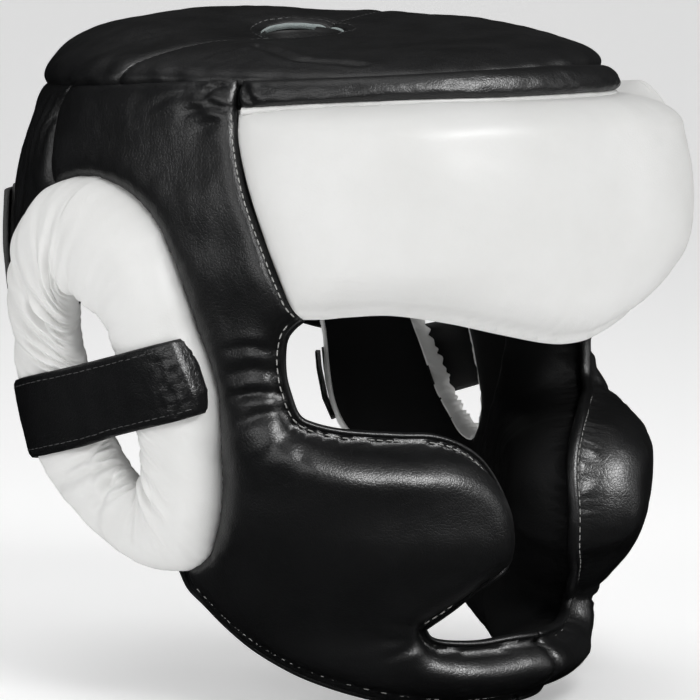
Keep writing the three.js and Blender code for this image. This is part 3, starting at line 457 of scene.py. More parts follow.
# ------------------------------------------------------------------ materials
def nodes_of(name):
    m = bpy.data.materials.new(name); m.use_nodes = True
    nt = m.node_tree
    return m, nt, nt.nodes["Principled BSDF"]
def leather(name, lo, hi, rough, spec=0.5, coat=0.0, grain=1.0, scale=1.0, wear=0.0, dirt=None):
    m, nt, b = nodes_of(name)
    N, L = nt.nodes.new, nt.links.new
    tc = N("ShaderNodeTexCoord")
    big = N("ShaderNodeTexNoise"); big.inputs["Scale"].default_value = 22 * scale; big.inputs["Detail"].default_value = 5
    L(tc.outputs["Object"], big.inputs["Vector"])
    ramp = N("ShaderNodeValToRGB")
    ramp.color_ramp.elements[0].position, ramp.color_ramp.elements[1].position = 0.3, 0.72
    ramp.color_ramp.elements[0].color, ramp.color_ramp.elements[1].color = (*lo, 1), (*hi, 1)
    L(big.outputs["Fac"], ramp.inputs["Fac"])
    pore = N("ShaderNodeTexVoronoi"); pore.feature = "DISTANCE_TO_EDGE"; pore.inputs["Scale"].default_value = 760 * scale
    warp = N("ShaderNodeTexNoise"); warp.inputs["Scale"].default_value = 240 * scale; warp.inputs["Detail"].default_value = 2
    L(tc.outputs["Object"], warp.inputs["Vector"])
    mixv = N("ShaderNodeVectorMath"); mixv.operation = "MULTIPLY_ADD"
    mixv.inputs[1].default_value = (0.0014, 0.0014, 0.0014)
    L(warp.outputs["Color"], mixv.inputs[0]); L(tc.outputs["Object"], mixv.inputs[2])
    L(mixv.outputs["Vector"], pore.inputs["Vector"])
    pr = N("ShaderNodeMapRange"); pr.inputs["From Min"].default_value = 0.0; pr.inputs["From Max"].default_value = 0.16
    L(pore.outputs["Distance"], pr.inputs["Value"])
    fine = N("ShaderNodeTexNoise"); fine.inputs["Scale"].default_value = 1500 * scale; fine.inputs["Detail"].default_value = 3
    L(tc.outputs["Object"], fine.inputs["Vector"])
    mid = N("ShaderNodeTexNoise"); mid.inputs["Scale"].default_value = 150 * scale; mid.inputs["Detail"].default_value = 4
    L(tc.outputs["Object"], mid.inputs["Vector"])
    b1 = N("ShaderNodeBump"); b1.inputs["Strength"].default_value = 0.16 * grain; b1.inputs["Distance"].default_value = 0.0004
    L(pr.outputs["Result"], b1.inputs["Height"])
    b2 = N("ShaderNodeBump"); b2.inputs["Strength"].default_value = 0.12 * grain; b2.inputs["Distance"].default_value = 0.0003
    L(fine.outputs["Fac"], b2.inputs["Height"]); L(b1.outputs["Normal"], b2.inputs["Normal"])
    b3 = N("ShaderNodeBump"); b3.inputs["Strength"].default_value = 0.25 * grain; b3.inputs["Distance"].default_value = 0.0009
    L(mid.outputs["Fac"], b3.inputs["Height"]); L(b2.outputs["Normal"], b3.inputs["Normal"])
    L(b3.outputs["Normal"], b.inputs["Normal"])
    rr = N("ShaderNodeMapRange"); rr.inputs["To Min"].default_value = rough - 0.06; rr.inputs["To Max"].default_value = rough + 0.09
    rn = N("ShaderNodeTexNoise"); rn.inputs["Scale"].default_value = 60 * scale; rn.inputs["Detail"].default_value = 6
    L(tc.outputs["Object"], rn.inputs["Vector"]); L(rn.outputs["Fac"], rr.inputs["Value"])
    L(rr.outputs["Result"], b.inputs["Roughness"])
    L(ramp.outputs["Color"], b.inputs["Base Color"])
    b.inputs["Specular IOR Level"].default_value = spec
    if coat:
        b.inputs["Coat Weight"].default_value = coat; b.inputs["Coat Roughness"].default_value = 0.28
    return m
def plain(name, lo, hi, rough, scale=400, bump=0.3, sheen=0.0, ribs=0):
    m, nt, b = nodes_of(name)
    N, L = nt.nodes.new, nt.links.new
    tc = N("ShaderNodeTexCoord")
    t = N("ShaderNodeTexNoise"); t.inputs["Scale"].default_value = scale; t.inputs["Detail"].default_value = 5
    L(tc.outputs["Object"], t.inputs["Vector"])
    ramp = N("ShaderNodeValToRGB")
    ramp.color_ramp.elements[0].color, ramp.color_ramp.elements[1].color = (*lo, 1), (*hi, 1)
    L(t.outputs["Fac"], ramp.inputs["Fac"]); L(ramp.outputs["Color"], b.inputs["Base Color"])
    bp = N("ShaderNodeBump"); bp.inputs["Strength"].default_value = bump; bp.inputs["Distance"].default_value = 0.0006
    if ribs:
        w = N("ShaderNodeTexWave"); w.bands_direction = "Z"; w.inputs["Scale"].default_value = ribs
        L(tc.outputs["Object"], w.inputs["Vector"]); L(w.outputs["Fac"], bp.inputs["Height"])
    else: L(t.outputs["Fac"], bp.inputs["Height"])
    L(bp.outputs["Normal"], b.inputs["Normal"])
    b.inputs["Roughness"].default_value = rough
    if sheen: b.inputs["Sheen Weight"].default_value = sheen
    return m
M = {
  "black": leather("black_leather", (0.0052, 0.0054, 0.0058), (0.0085, 0.0088, 0.0095), 0.37, 0.5, grain=1.0),
  "crown": leather("crown_leather", (0.0052, 0.0054, 0.0058), (0.008, 0.0083, 0.009), 0.40, 0.5, grain=1.1),
  "white": leather("white_leather", (0.80, 0.80, 0.785), (0.86, 0.86, 0.85), 0.47, 0.4, grain=0.45),
  "lining": leather("lining_leather", (0.006, 0.0062, 0.0066), (0.010, 0.0102, 0.011), 0.56, 0.35, grain=0.7, scale=0.8),
  "strap": leather("strap_leather", (0.0055, 0.0057, 0.0062), (0.009, 0.0093, 0.010), 0.33, 0.5, grain=1.2),
  "foam": plain("foam", (0.09, 0.10, 0.10), (0.16, 0.17, 0.17), 0.95, 900, 0.5),
  "raw": plain("raw_edge", (0.30, 0.36, 0.36), (0.52, 0.58, 0.57), 0.9, 1600, 0.8),
  "cut": plain("cut_edge", (0.03, 0.03, 0.03), (0.09, 0.09, 0.088), 0.7, 1500, 0.5),
  "thread": plain("thread", (0.30, 0.30, 0.29), (0.55, 0.55, 0.53), 0.6, 2500, 0.5),
  "thread_dark": plain("thread_dark", (0.035, 0.035, 0.036), (0.10, 0.10, 0.10), 0.5, 2500, 0.5),
  "loop": plain("loop_tape", (0.010, 0.010, 0.011), (0.028, 0.028, 0.030), 0.95, 2200, 1.0, sheen=0.5),
  "hook": plain("hook_tape", (0.012, 0.012, 0.013), (0.03, 0.03, 0.032), 0.7, 3000, 1.0),
  "elastic": plain("elastic_webbing", (0.010, 0.010, 0.011), (0.022, 0.022, 0.024), 0.75, 900, 0.8, ribs=420),
}

# ------------------------------------------------------------------ stuffed panels
neg = lambda pts: [[-a, z] for a, z in pts]
FH_LOW = neg(FLOW) + FLOW[::-1][1:]
top_line = [[a, float(brow_z(a))] for a in (68.5, 60, 50, 40, 30, 15, 0, -15, -30, -40, -50, -60, -68.5)]
def fh_lift(P, D):
    deg, d = P[:, 0] / MM, D["roof"][0]
    share = ease((deg - 36) / 12) * ease((69 - deg) / 6) + 0.22 * ease((-deg - 40) / 14) * ease((69 + deg) / 6)
    return 15.0 * share * ease(d / 12.0) * (1 - ease((d - 14) / 46.0))
forehead = Pad([("flange", FH_LOW), ("seam", FSEAM[::-1]), ("roof", top_line), ("seam", neg(FSEAM))], seed=11, lump=0.35,
    puck=[("flange", 7, 0.9, 14, 1.1), ("roof", 6, 0.7, 9, 0.9), ("seam", 9, 0.35, 8, 1.0)], extra=fh_lift, drop=3.8)
KIND_FH = dict(KIND)
side_segs = [("roof", roof(69.2, 124.6)), ("seam", BSEAM), ("ring", RING_TOP), ("ring", RING_FRONT), ("flange", JAW), ("mid", [[0, -117.5], [0, -105], [0, -92]]),
             ("flange", CHIN_TOP), ("flange", CHEEK_F), ("seam", FSEAM[::-1] + [[69.2, 112.6]])]
NECK = [  # folds between the eye opening and the ear ring, and at the roll's end
  ([[56.5, 18], [63, 19.5], [69, 17]], 1.6, 1.5), ([[56.5, 10], [62, 12], [68, 8]], 1.5, 1.6), ([[56, 3], [62, 3], [68.5, 0]], 1.7, 1.7),
  ([[55.5, -3], [61, -5], [66, -10]], 1.6, 1.3), ([[54, -8], [57, -14], [60, -22]], 1.5, 1.4), ([[51, -11], [53, -18], [53, -27]], 1.4, 1.2),
  ([[70, 106], [74, 108.5], [80, 109]], 1.5, 1.8), ([[69.6, 103], [75, 103.5], [82, 101]], 1.7, 1.7), ([[69.6, 108], [72, 110.5], [75, 111.8]], 1.2, 1.5),
  ([[69, 100], [73, 98.5], [78, 95]], 1.5, 1.1), ([[69.5, 111.5], [74.5, 110.5], [78, 106.5]], 1.1, 2.0), ([[78, 107], [74, 104.5], [69.5, 102]], 1.1, 2.0),
  ([[80, 108], [86, 106.5], [93, 102]], 1.8, 0.9),
  ([[27.5, -87], [33, -88], [39, -87]], 1.5, 1.5), ([[27, -84], [32, -83], [37, -80]], 1.4, 1.2), ([[28, -89], [33, -92], [38, -96]], 1.4, 1.2),
  ([[128, 100], [127, 85], [124, 72]], 3.0, 0.0)]
PUCK = [("ring", 5.0, 0.9, 13, 1.0), ("flange", 5.5, 0.7, 8, 0.9), ("roof", 9, 0.5, 7, 1.0), ("seam", 11, 0.3, 6, 0.9)]
back_segs = [("roof", roof(124.6, 173, 10)), ("flange", [[173, float(seam_z(173))], [173, 65], [173, 22.5]]), ("flange", NAPE), ("ring", RING_REAR), ("seam", BSEAM[::-1])]
BACK_FOLDS = [([[126.5, 104], [128.5, 92], [127, 79]], 1.5, 1.2), ([[130, 106], [131, 92], [129.5, 80]], 1.8, 1.3), ([[138, 100], [139.5, 84], [138, 66]], 2.2, 1.1), ([[148, 98], [149, 76], [147, 52]], 2.6, 0.9),
  ([[134, 104], [136, 80], [134, 52]], 3.2, 1.5), ([[142, 102], [143, 78], [141, 55]], 3.4, 0.9)]
th_main = Threads()
fh_cover = build_pad(forehead, 1, "forehead_pad", "forehead_foam", "forehead_inner", M["white"], ["forehead_cover"], ["forehead_padding"], ["forehead_lining"])
pads = {}
for word, side, seed in (("right", -1, 21), ("left", 1, 35)):
    sp = Pad(side_segs, seed=seed, folds=[(p, w * (0.85 + 0.5 * ((7 * k + seed) % 5) / 4), a * (0.42 + 0.45 * ((3 * k + seed) % 4) / 3)) for k, (p, w, a) in enumerate(NECK) if a], puck=PUCK, lump=0.5)
    build_pad(sp, side, word + "_side_panel", word + "_side_foam", word + "_side_inner", M["black"], [word + "_side_cover"],
              [word + "_temple_padding", word + "_cheek_padding"] + (["chin_padding"] if side < 0 else []), [word + "_side_lining"])
    bp = Pad(back_segs, seed=seed + 3, folds=BACK_FOLDS, puck=[("ring", 6, 0.6, 10, 1.0), ("flange", 7, 0.5, 8, 1.0), ("roof", 9, 0.5, 7, 1.0)], lump=0.5)
    build_pad(bp, side, word + "_back_panel", word + "_back_foam", word + "_back_inner", M["black"], [word + "_back_cover"], [word + "_back_padding"], [word + "_back_lining"])
    pads[word] = (sp, bp)
    L = {k: resample(catmull(v, 2), 1.2) for k, v in dict(fs=FSEAM, jaw=JAW, chin=CHIN_TOP, cheek=CHEEK_F, nape=NAPE, gap=[[173, 106.5], [173, 22.5]]).items()}
    pad_row(th_main, sp, L["fs"], side, 1.5, pitch=3.0, length=2.1, radius=0.27, seed=seed)
    pad_row(th_main, sp, L["cheek"], side, 1.9, pitch=3.3, length=2.3, radius=0.26, sink=-0.3, seed=seed + 1)
    pad_row(th_main, sp, L["chin"], side, 3.2, pitch=3.3, length=2.1, radius=0.24, sink=-0.12, seed=seed + 2)
    pad_row(th_main, sp, L["jaw"], side, 3.2, pitch=3.3, length=2.1, radius=0.24, sink=-0.12, seed=seed + 3)
    pad_row(th_main, bp, L["nape"], side, 3.2, pitch=3.3, length=2.1, radius=0.24, sink=-0.12, seed=seed + 4)
    pad_row(th_main, bp, L["gap"], side, 3.2, pitch=3.3, length=2.1, radius=0.24, sink=-0.12, seed=seed + 5)

# ------------------------------------------------------------------ tubes: brow roll, straps, flap
def tube_(rings):
    n, m = rings.shape[:2]
    f = [[i * m + k, i * m + (k + 1) % m, (i + 1) * m + (k + 1) % m, (i + 1) * m + k] for i in range(n - 1) for k in range(m)]
    return rings.reshape(-1, 3), f + [list(range(m)), [(n - 1) * m + k for k in range(m)][::-1]]
# the bound edge where cover and lining meet round the eye, cheek, chin and jaw
for word, side in (("right", -1), ("left", 1)):
    V, F = [], []
    for pts in (CHEEK_F, CHIN_TOP, JAW, NAPE):
        q = resample(catmull(pts, 2), 1.6)
        t = np.gradient(q, axis=0); t /= np.linalg.norm(t, axis=1)[:, None] + 1e-9
        nn = np.stack([-t[:, 1], t[:, 0]], 1)
        a = np.linspace(0, 2 * np.pi, 12, endpoint=False)
        rings = []
        for (u, z), (nu, nz) in zip(q, nn):
            la, ra = 1.15 * np.cos(a), 2.3 * np.sin(a)
            rings.append(place((u + nu * la) / MM, z + nz * la, float(r_edge(u / MM, z)) - 4.3 + ra))
        v, f = tube_(np.array(rings))
        F += [[i + len(V) for i in g] for g in f]; V += v.tolist()
    V, F = mirrored(V, F, side)
    orient(make(word + "_edge_binding", V, F, M["black"]))
def tube(rings, closed=False):
    """rings: (n, m, 3), each row a closed section"""
    n, m = rings.shape[:2]
    f = []
    for i in range(n if closed else n - 1):
        a0, b0 = i * m, ((i + 1) % n) * m
        for k in range(m):
            j = (k + 1) % m
            f.append([a0 + k, a0 + j, b0 + j, b0 + k])
    if not closed: f += [list(range(m)), [(n - 1) * m + k for k in range(m)][::-1]]
    return rings.reshape(-1, 3), f
def band(deg, lo, hi, r_mid, thick, n_flat=14, edge=1.1):
    """a flat strap with rounded edges: sections across it at each angle"""
    rings, tags = [], []
    for d, a, b, r in zip(deg, lo, hi, r_mid):
        h, t = b - a, thick / 2
        e = min(edge, t)
        v = np.linspace(-h / 2 + e, h / 2 - e, n_flat)
        arc = np.linspace(np.pi / 2, -np.pi / 2, 7)[1:-1]
        zz = np.r_[v, h / 2 - e + e * np.cos(arc), v[::-1], -h / 2 + e - e * np.cos(arc)]
        kk = np.r_[np.full(n_flat, t), t * np.sin(arc), np.full(n_flat, -t), -t * np.sin(arc)]
        zc = (a + b) / 2
        rr = r(zz + zc) if callable(r) else np.full(len(zz), r)
        rings.append(place(d, zz + zc, rr + kk))
    return np.array(rings)
def band_tags(n, n_flat, extra=2):
    m = 2 * n_flat + 10
    t = []
    for i in range(n - 1):
        for k in range(m):
            t.append(1 if (n_flat - 1 <= k < n_flat + 5) or k >= 2 * n_flat + 4 else 0)
    return t + [1] * extra

# brow roll
ENDS = 67.4
rd = np.linspace(-ENDS, ENDS, 300)
rolls = []
M_SEC = 30
for d in rd:
    lo_, hi_ = float(brow_z(d)) + 0.3, float(seam_z(d)) - 0.2
    zc, hz = (lo_ + hi_) / 2, (hi_ - lo_) / 2
    taper = float(quarter((ENDS - abs(d)) / 4.0)) * 0.75 + 0.25
    ang = np.linspace(0, 2 * np.pi, M_SEC, endpoint=False)
    c, s_ = np.cos(ang), np.sin(ang)
    out = np.where(c > 0, (5.6 * taper) * np.abs(c) ** 0.8, -9.0 * np.abs(c) ** 0.9)
    u = np.full(M_SEC, d * MM)
    zz = zc + hz * np.sign(s_) * np.abs(s_) ** 0.9
    w = 0.22 * waves(np.stack([u, zz * 2.2], 1), 5, 13, 16) + 0.08 * waves(np.stack([u, zz * 1.5], 1), 6, 5, 18)
    pinch = 1.5 * math.exp(-((ENDS - abs(d)) / 4.0) ** 2) * np.sin(u * 0.8 + 0.6 * zz)
    r = r_edge(d, zz) - 1.6 + out + np.where(c > 0, (w + pinch) * c, 0)
    rolls.append(place(d, zz, r))
V, F = tube(np.array(rolls))
orient(make("brow_roll", V, F, M["crown"], replaces=["brow_roll_cover", "brow_roll_core"]))
# welt under it
wd = np.linspace(-66.8, 66.8, 220)
wr = []
for d in wd:
    zc = float(brow_z(d)) - 0.5
    a = np.linspace(0, 2 * np.pi, 10, endpoint=False)
    wr.append(place(d, zc + 1.35 * np.sin(a), float(r_edge(d, zc)) - 0.1 + 1.4 * np.cos(a) + 0.12 * math.sin(d * 5.1) + 0.1 * math.sin(d * 11.7)))
V, F = tube(np.array(wr))
orient(make("brow_welt", V, F, M["white"]))

# ear rings
def closed_curve(pts, n):
    p = np.array(pts, float) * [MM, 1]
    q = np.vstack([p[-1:], p, p[:2]])
    out = []
    for i in range(len(p)):
        a, b, c, d = q[i:i + 4]
        t = (np.arange(12) / 12)[:, None]
        out.append(0.5 * (2 * b + (c - a) * t + (2 * a - 5 * b + 4 * c - d) * t ** 2 + (3 * b - a - 3 * c + d) * t ** 3))
    return resample(np.vstack(out), n=n, closed=True)
def matched(curve, anchors, n):
    """the curve from anchor to anchor, an equal share of points between each pair"""
    A = np.array(anchors, float) * [MM, 1]
    ids = [int(np.argmin(((curve - a) ** 2).sum(1))) for a in A]
    N = len(curve)
    span = (ids[1] - ids[0]) % N
    if span > N / 2: curve = curve[::-1]; ids = [N - 1 - i for i in ids]
    out = []
    for k in range(len(ids)):
        i, j = ids[k], ids[(k + 1) % len(ids)]
        seg = curve[np.arange(i, i + ((j - i) % N) + 1) % N]
        out.append(resample(seg, n=n // len(ids) + 1)[:-1])
    return np.vstack(out)
def ring_smooth(c, k):
    w = np.exp(-0.5 * (np.arange(-3 * k, 3 * k + 1) / k) ** 2); w /= w.sum()
    return np.stack([np.convolve(np.r_[c[-3 * k:, i], c[:, i], c[:3 * k, i]], w, "valid") for i in (0, 1)], 1)
back_by = lambda z: float(np.interp(z, [-35, -25, 10, 34], [1.5, 1.8, 4.2, 5.0]))
HOLE = [[103.4, 33.6], [100.6, 32.4], [96.8, 28.5], [94.2, 26.4], [92, 21], [90.6, 14.6], [88.4, 0], [86.6, -13.8], [85.9, -19.6], [86, -28.5], [87.2, -35], [90.9, -32.2], [93.7, -24.9], [96, -17.8], [99.5, -3], [102.6, 9.3], [103.6, 17], [104.1, 24.3], [104, 31]]
HOLE = [[a + back_by(z), z] for a, z in HOLE]
NP = 480
OUTER = ring_smooth(matched(closed_curve(RING_TOP[1:] + RING_FRONT[1:] + RING_LOW[1:] + RING_REAR[1:], 1400), [(106, 75.6), (129, 6), (91, -67), (70.6, -10)], NP), 3)
INNER = ring_smooth(matched(closed_curve(HOLE, 900), [(a + back_by(z), z) for a, z in ((103.6, 33.2), (99.2, -4), (87.4, -34.5), (88.2, -3))], NP), 4)
RING_PROUD, RING_DEEP = 10.2, 9.0
def ring_point(phi_i, psi, inward=0.0):
    """phi_i: indices round the ring; psi: section angles in radians, 0 at the outer seam, 90 deg outside the head"""
    O, Hh = OUTER[phi_i][:, None], INNER[phi_i][:, None]
    c, s_ = np.cos(psi)[None], np.sin(psi)[None]
    half = np.linalg.norm(O - Hh, axis=2) / 2
    k = ((half - 0.35 - inward + 1.1 * (c > 0.2)) / half)[..., None]
    cc = (np.sign(c) * np.abs(c) ** 0.86)[..., None]
    pos = (O + Hh) / 2 + (O - Hh) / 2 * cc * k
    deg, z = pos[..., 0] / MM, pos[..., 1]
    base = r_edge(deg, z) + r_crown(deg, z) * 0.6
    top, low = base + RING_PROUD - inward, r_edge(deg, z) - RING_DEEP + inward
    ss = np.sign(s_) * np.abs(s_) ** 0.92
    mid = low + (top - low) * (0.5 - 0.36 * ease((cc[..., 0] + 0.4) / 1.4))        # the outer seam sits low, under the panels' edge
    r = mid + np.where(ss > 0, top - mid, mid - low) * ss
    return deg, z, r
def ring_folds(seed, T, PSI):
    """the gathers that radiate from the ear hole; T is 0 at the top, 0.25 behind, 0.5 below, 0.75 in front"""
    g = np.random.default_rng(seed)
    out = np.zeros(T.shape)
    def weight(t):
        f = lambda c, w: math.exp(-(((t - c + 0.5) % 1 - 0.5) / w) ** 2)
        return 0.16 + 1.0 * f(0.07, 0.085) + 0.62 * f(0.2, 0.08) + 0.95 * f(0.46, 0.085) + 0.55 * f(0.57, 0.04) + 0.25 * f(0.33, 0.06)
    t = 0.0
    while t < 1.0:
        w = weight(t)
        A = 1.75 * w * g.uniform(0.35, 1.0)
        W = 0.0042 * g.uniform(0.6, 1.5)
        centre, spread = g.uniform(2.2, 2.9), g.uniform(0.5, 1.25) * (0.75 + 0.5 * w)
        tilt, curl = g.normal(0, 0.012), g.normal(0, 0.006)
        q = ((T - t - tilt * (PSI - 3.1) - curl * (PSI - 3.1) ** 2 + 0.5) % 1 - 0.5)
        fan = 1.0 + 0.9 * np.clip((2.9 - PSI) / 2.0, 0, 1)       # folds open out away from the hole
        q = q / (W * fan)
        fade = np.exp(-((PSI - centre) / spread) ** 2) * (1 - 0.85 * ease((PSI - 2.75) / 0.55))
        out -= A * fade * (np.exp(-q ** 2) - 0.5 * np.exp(-((np.abs(q) - 2.3) / 1.3) ** 2))
        t += (0.0105 if w > 0.35 else 0.02) * g.uniform(0.6, 1.6)
    return out
for word, side, seed in (("right", -1, 51), ("left", 1, 77)):
    ii = np.arange(NP)
    def skin(lo, hi, m, inward, folds):
        psi = np.radians(np.linspace(lo, hi, m))
        deg, z, r = ring_point(ii, psi, inward)
        X = place(deg, z, r)
        if folds:
            n = np.cross(np.roll(X, -1, 0) - np.roll(X, 1, 0), np.gradient(X, axis=1))
            n /= np.linalg.norm(n, axis=2)[..., None] + 1e-9
            cen = place(*ring_point(ii, np.radians([90.0, 270.0]), inward)).mean(1, keepdims=True)
            if ((n * (X - cen)).sum(2) > 0).mean() < 0.5: n = -n
            T = np.broadcast_to((ii / NP)[:, None], X.shape[:2]); PS = np.broadcast_to(psi[None], X.shape[:2])
            arc = np.stack([T * 300, PS * 16], -1).reshape(-1, 2)
            d = ring_folds(seed, T, PS) + (0.35 * waves(arc, seed, 22) + 0.14 * waves(arc * [1, 0.5], seed + 2, 7, 16)).reshape(T.shape)
            edge = np.sin(np.clip((PS - math.radians(lo)) / math.radians(24), 0, 1) * np.pi / 2)
            X = X + n * (d * edge)[..., None]
        return X
    A, B = skin(-24, 214, 74, 0, True), skin(-24, 214, 74, 2.2, False)
    V, F, tag = grid_shell(A, B, wrap=True)
    V, F = mirrored(V, F, side)
    orient(make(word + "_ear_ring", V, F, M["white"], replaces=[word + "_ear_ring_cover"]))
    A, B = skin(211, 337, 30, 0.4, False), skin(211, 337, 30, 2.0, False)
    V, F, tag = grid_shell(A, B, wrap=True)
    V, F = mirrored(V, F, side)
    orient(make(word + "_ear_ring_inner", V, F, M["lining"], replaces=[word + "_ear_ring_lining"]))
    psi = np.radians(np.linspace(0, 360, 24, endpoint=False))
    X = place(*ring_point(np.arange(0, NP, 6), psi, 3.4))
    V, F = tube(X, closed=True)
    V, F = mirrored(V, F, side)
    orient(make(word + "_ear_ring_foam", V, F, M["foam"], replaces=[word + "_ear_ring_padding"]))

# the ring's outer skin as a height over the outline plane, for the strap that lies on it
HU0, HV0, HN, HM = 120.0, -80.0, 150, 165
HEIGHT = np.zeros((HN, HM))
_psi = np.radians(np.linspace(0, 180, 240))
_d, _z, _r = ring_point(np.arange(0, NP), _psi)
_i = np.clip(np.round(_d * MM - HU0).astype(int), 0, HN - 1); _j = np.clip(np.round(_z - HV0).astype(int), 0, HM - 1)
np.maximum.at(HEIGHT, (_i, _j), _r)
def taut(z_of, d0, d1, n=120):
    """radius along a line stretched over the ring from one seam to the other: the upper hull of the skin below it"""
    d = np.linspace(d0, d1, n)
    z = z_of(d)
    u = d * MM - HU0
    i, j = np.clip(np.round(u).astype(int), 0, HN - 1), np.clip(np.round(z - HV0).astype(int), 0, HM - 1)
    h = HEIGHT[i, j]
    h[0], h[-1] = r_edge(d[0], z[0]) - 4.0, r_edge(d[-1], z[-1]) - 5.0
    h = np.where(h < 60, 60, h)
    X = np.stack([h * np.sin(np.radians(d)), h * np.cos(np.radians(d))], 1)      # seen from above, the hull bulges out
    keep = [0]
    for k in range(1, n):
        while len(keep) > 1:
            a, b, c = X[keep[-2]], X[keep[-1]], X[k]
            if (b[0] - a[0]) * (c[1] - a[1]) - (b[1] - a[1]) * (c[0] - a[0]) >= 0: keep.pop()
            else: break
        keep.append(k)
    s = np.linspace(0, 1, n)
    H_ = np.stack([np.interp(d, d[keep], X[keep, 0]), np.interp(d, d[keep], X[keep, 1])], 1)
    # points between two hull points lie on the straight chord
    out = np.zeros(n)
    for a, b in zip(keep[:-1], keep[1:]):
        for k in range(a, b + 1):
            t = math.tan(math.radians(d[k]))
            A_, B_ = X[a], X[b]
            dx, dy = B_[0] - A_[0], B_[1] - A_[1]
            den = dx * math.cos(math.radians(d[k])) - dy * math.sin(math.radians(d[k]))
            w = (A_[1] * math.sin(math.radians(d[k])) - A_[0] * math.cos(math.radians(d[k]))) / den if abs(den) > 1e-9 else 0
            w = min(1, max(0, w))
            out[k] = math.hypot(A_[0] + w * dx, A_[1] + w * dy)
    ker = np.ones(5) / 5
    return d, z, np.convolve(np.pad(out, 2, mode="edge"), ker, "valid")

# ear straps
STRAP_DEG = [70, 72, 75, 79, 88, 96, 104, 111, 117, 122, 126, 129, 131]
STRAP_OUT = [0.6, 5.4, 10.2, 12.0, 9.6, 8.2, 9.6, 12.2, 12.4, 11.0, 8.4, 4.6, 1.8]
s_top = lambda d: smooth_interp(d, [69.7, 73, 88.3, 97.5, 106.8, 118.2, 132], [23, 23.2, 14.9, 10.3, 5.8, 0.6, -5.5])
s_low = lambda d: smooth_interp(d, [69.7, 76.3, 84, 91.4, 99.9, 112.2, 132], [-3.9, -8.2, -12.2, -16, -21.2, -27.1, -34])
F_SEAM = ([-20, -6, 2, 12, 22.8, 30], [71.2, 71.4, 71.7, 73.6, 76.3, 78])       # where the strap's ends go into the seams
R_SEAM = ([-45, -34, -24, -12, 0, 8], [119.5, 124.6, 127.2, 128.6, 129.2, 129.4])
NV, NU = 22, 130
th_strap = Threads()
grid_d, grid_z, grid_r = [], [], []
for v in np.linspace(0, 1, NV):
    zf = lambda d, v=v: s_low(d) * (1 - v) + s_top(d) * v
    d0 = np.interp(float(zf(np.array([73.0]))[0]), *F_SEAM); d1 = np.interp(float(zf(np.array([127.0]))[0]), *R_SEAM)
    d, z, r = taut(zf, d0, d1, NU)
    grid_d.append(d); grid_z.append(z); grid_r.append(r)
grid_d, grid_z, grid_r = np.array(grid_d), np.array(grid_z), np.array(grid_r)
k_ = np.exp(-0.5 * (np.arange(-6, 7) / 3.0) ** 2); k_ /= k_.sum()
grid_r = np.apply_along_axis(lambda q: np.convolve(np.pad(q, 6, mode="edge"), k_, "valid"), 0, grid_r)
for word, side, seed in (("right", -1, 3), ("left", 1, 9)):
    P_ = np.stack([grid_d * MM, grid_z], -1).reshape(-1, 2)
    w = (0.12 * waves(P_, seed, 14) + 0.30 * np.exp(-((P_[:, 0] / MM - 77) / 4.0) ** 2) * waves(P_ * [1, 1.6], seed + 1, 4.5, 16)).reshape(grid_r.shape)
    tk = np.sin(np.clip(np.linspace(0, 1, NV)[:, None] * 14, 0, 1) * np.pi / 2) * np.sin(np.clip((1 - np.linspace(0, 1, NV)[:, None]) * 14, 0, 1) * np.pi / 2)
    top = place(grid_d, grid_z, grid_r + 0.5 + w + 2.3 - 0.9 * (1 - tk))
    low = place(grid_d, grid_z, grid_r + 0.5 + w + 0.5 * (1 - tk))
    V, F, tag = grid_shell(np.transpose(top, (1, 0, 2)), np.transpose(low, (1, 0, 2)))
    tg = np.isin(tag, (2, 3)).astype(int).tolist()
    # the end that turns in behind the ring
    vv = np.linspace(-32.5, -4.8, 14)
    rr = np.linspace(float(r_edge(129, -20)) - 3.0, float(r_edge(129, -20)) - 10.0, 12)
    a = np.array([[place(np.interp(v, *R_SEAM) + 0.3 + 0.9 * k / 11, v, r) for v in vv] for k, r in enumerate(rr)])
    b = np.array([[place(np.interp(v, *R_SEAM) + 1.3 + 0.3 * k / 11, v, r) for v in vv] for k, r in enumerate(rr)])
    V2, F2, _ = grid_shell(a, b)
    F = F + [[i + len(V) for i in f] for f in F2]
    V = np.vstack([V, V2]); tg = tg + [0] * len(F2)
    V, F = mirrored(V, F, side)
    orient(make(word + "_ear_band", V, F, [M["strap"], M["cut"]], face_mat=tg, replaces=[word + "_ear_strap"]))
    for v in (2, NV - 3):
        X = top[v]
        N = X - [0, AXIS_Y, 0]; N[:, 2] = 0; N /= np.linalg.norm(N, axis=1)[:, None]
        if side < 0: X, N = X * [-1, 1, 1], N * [-1, 1, 1]
        th_strap.row(X[4:-4], N[4:-4], pitch=3.6, length=2.6, radius=0.2, seed=seed + v)
th_strap.done("strap_stitching", M["thread_dark"])

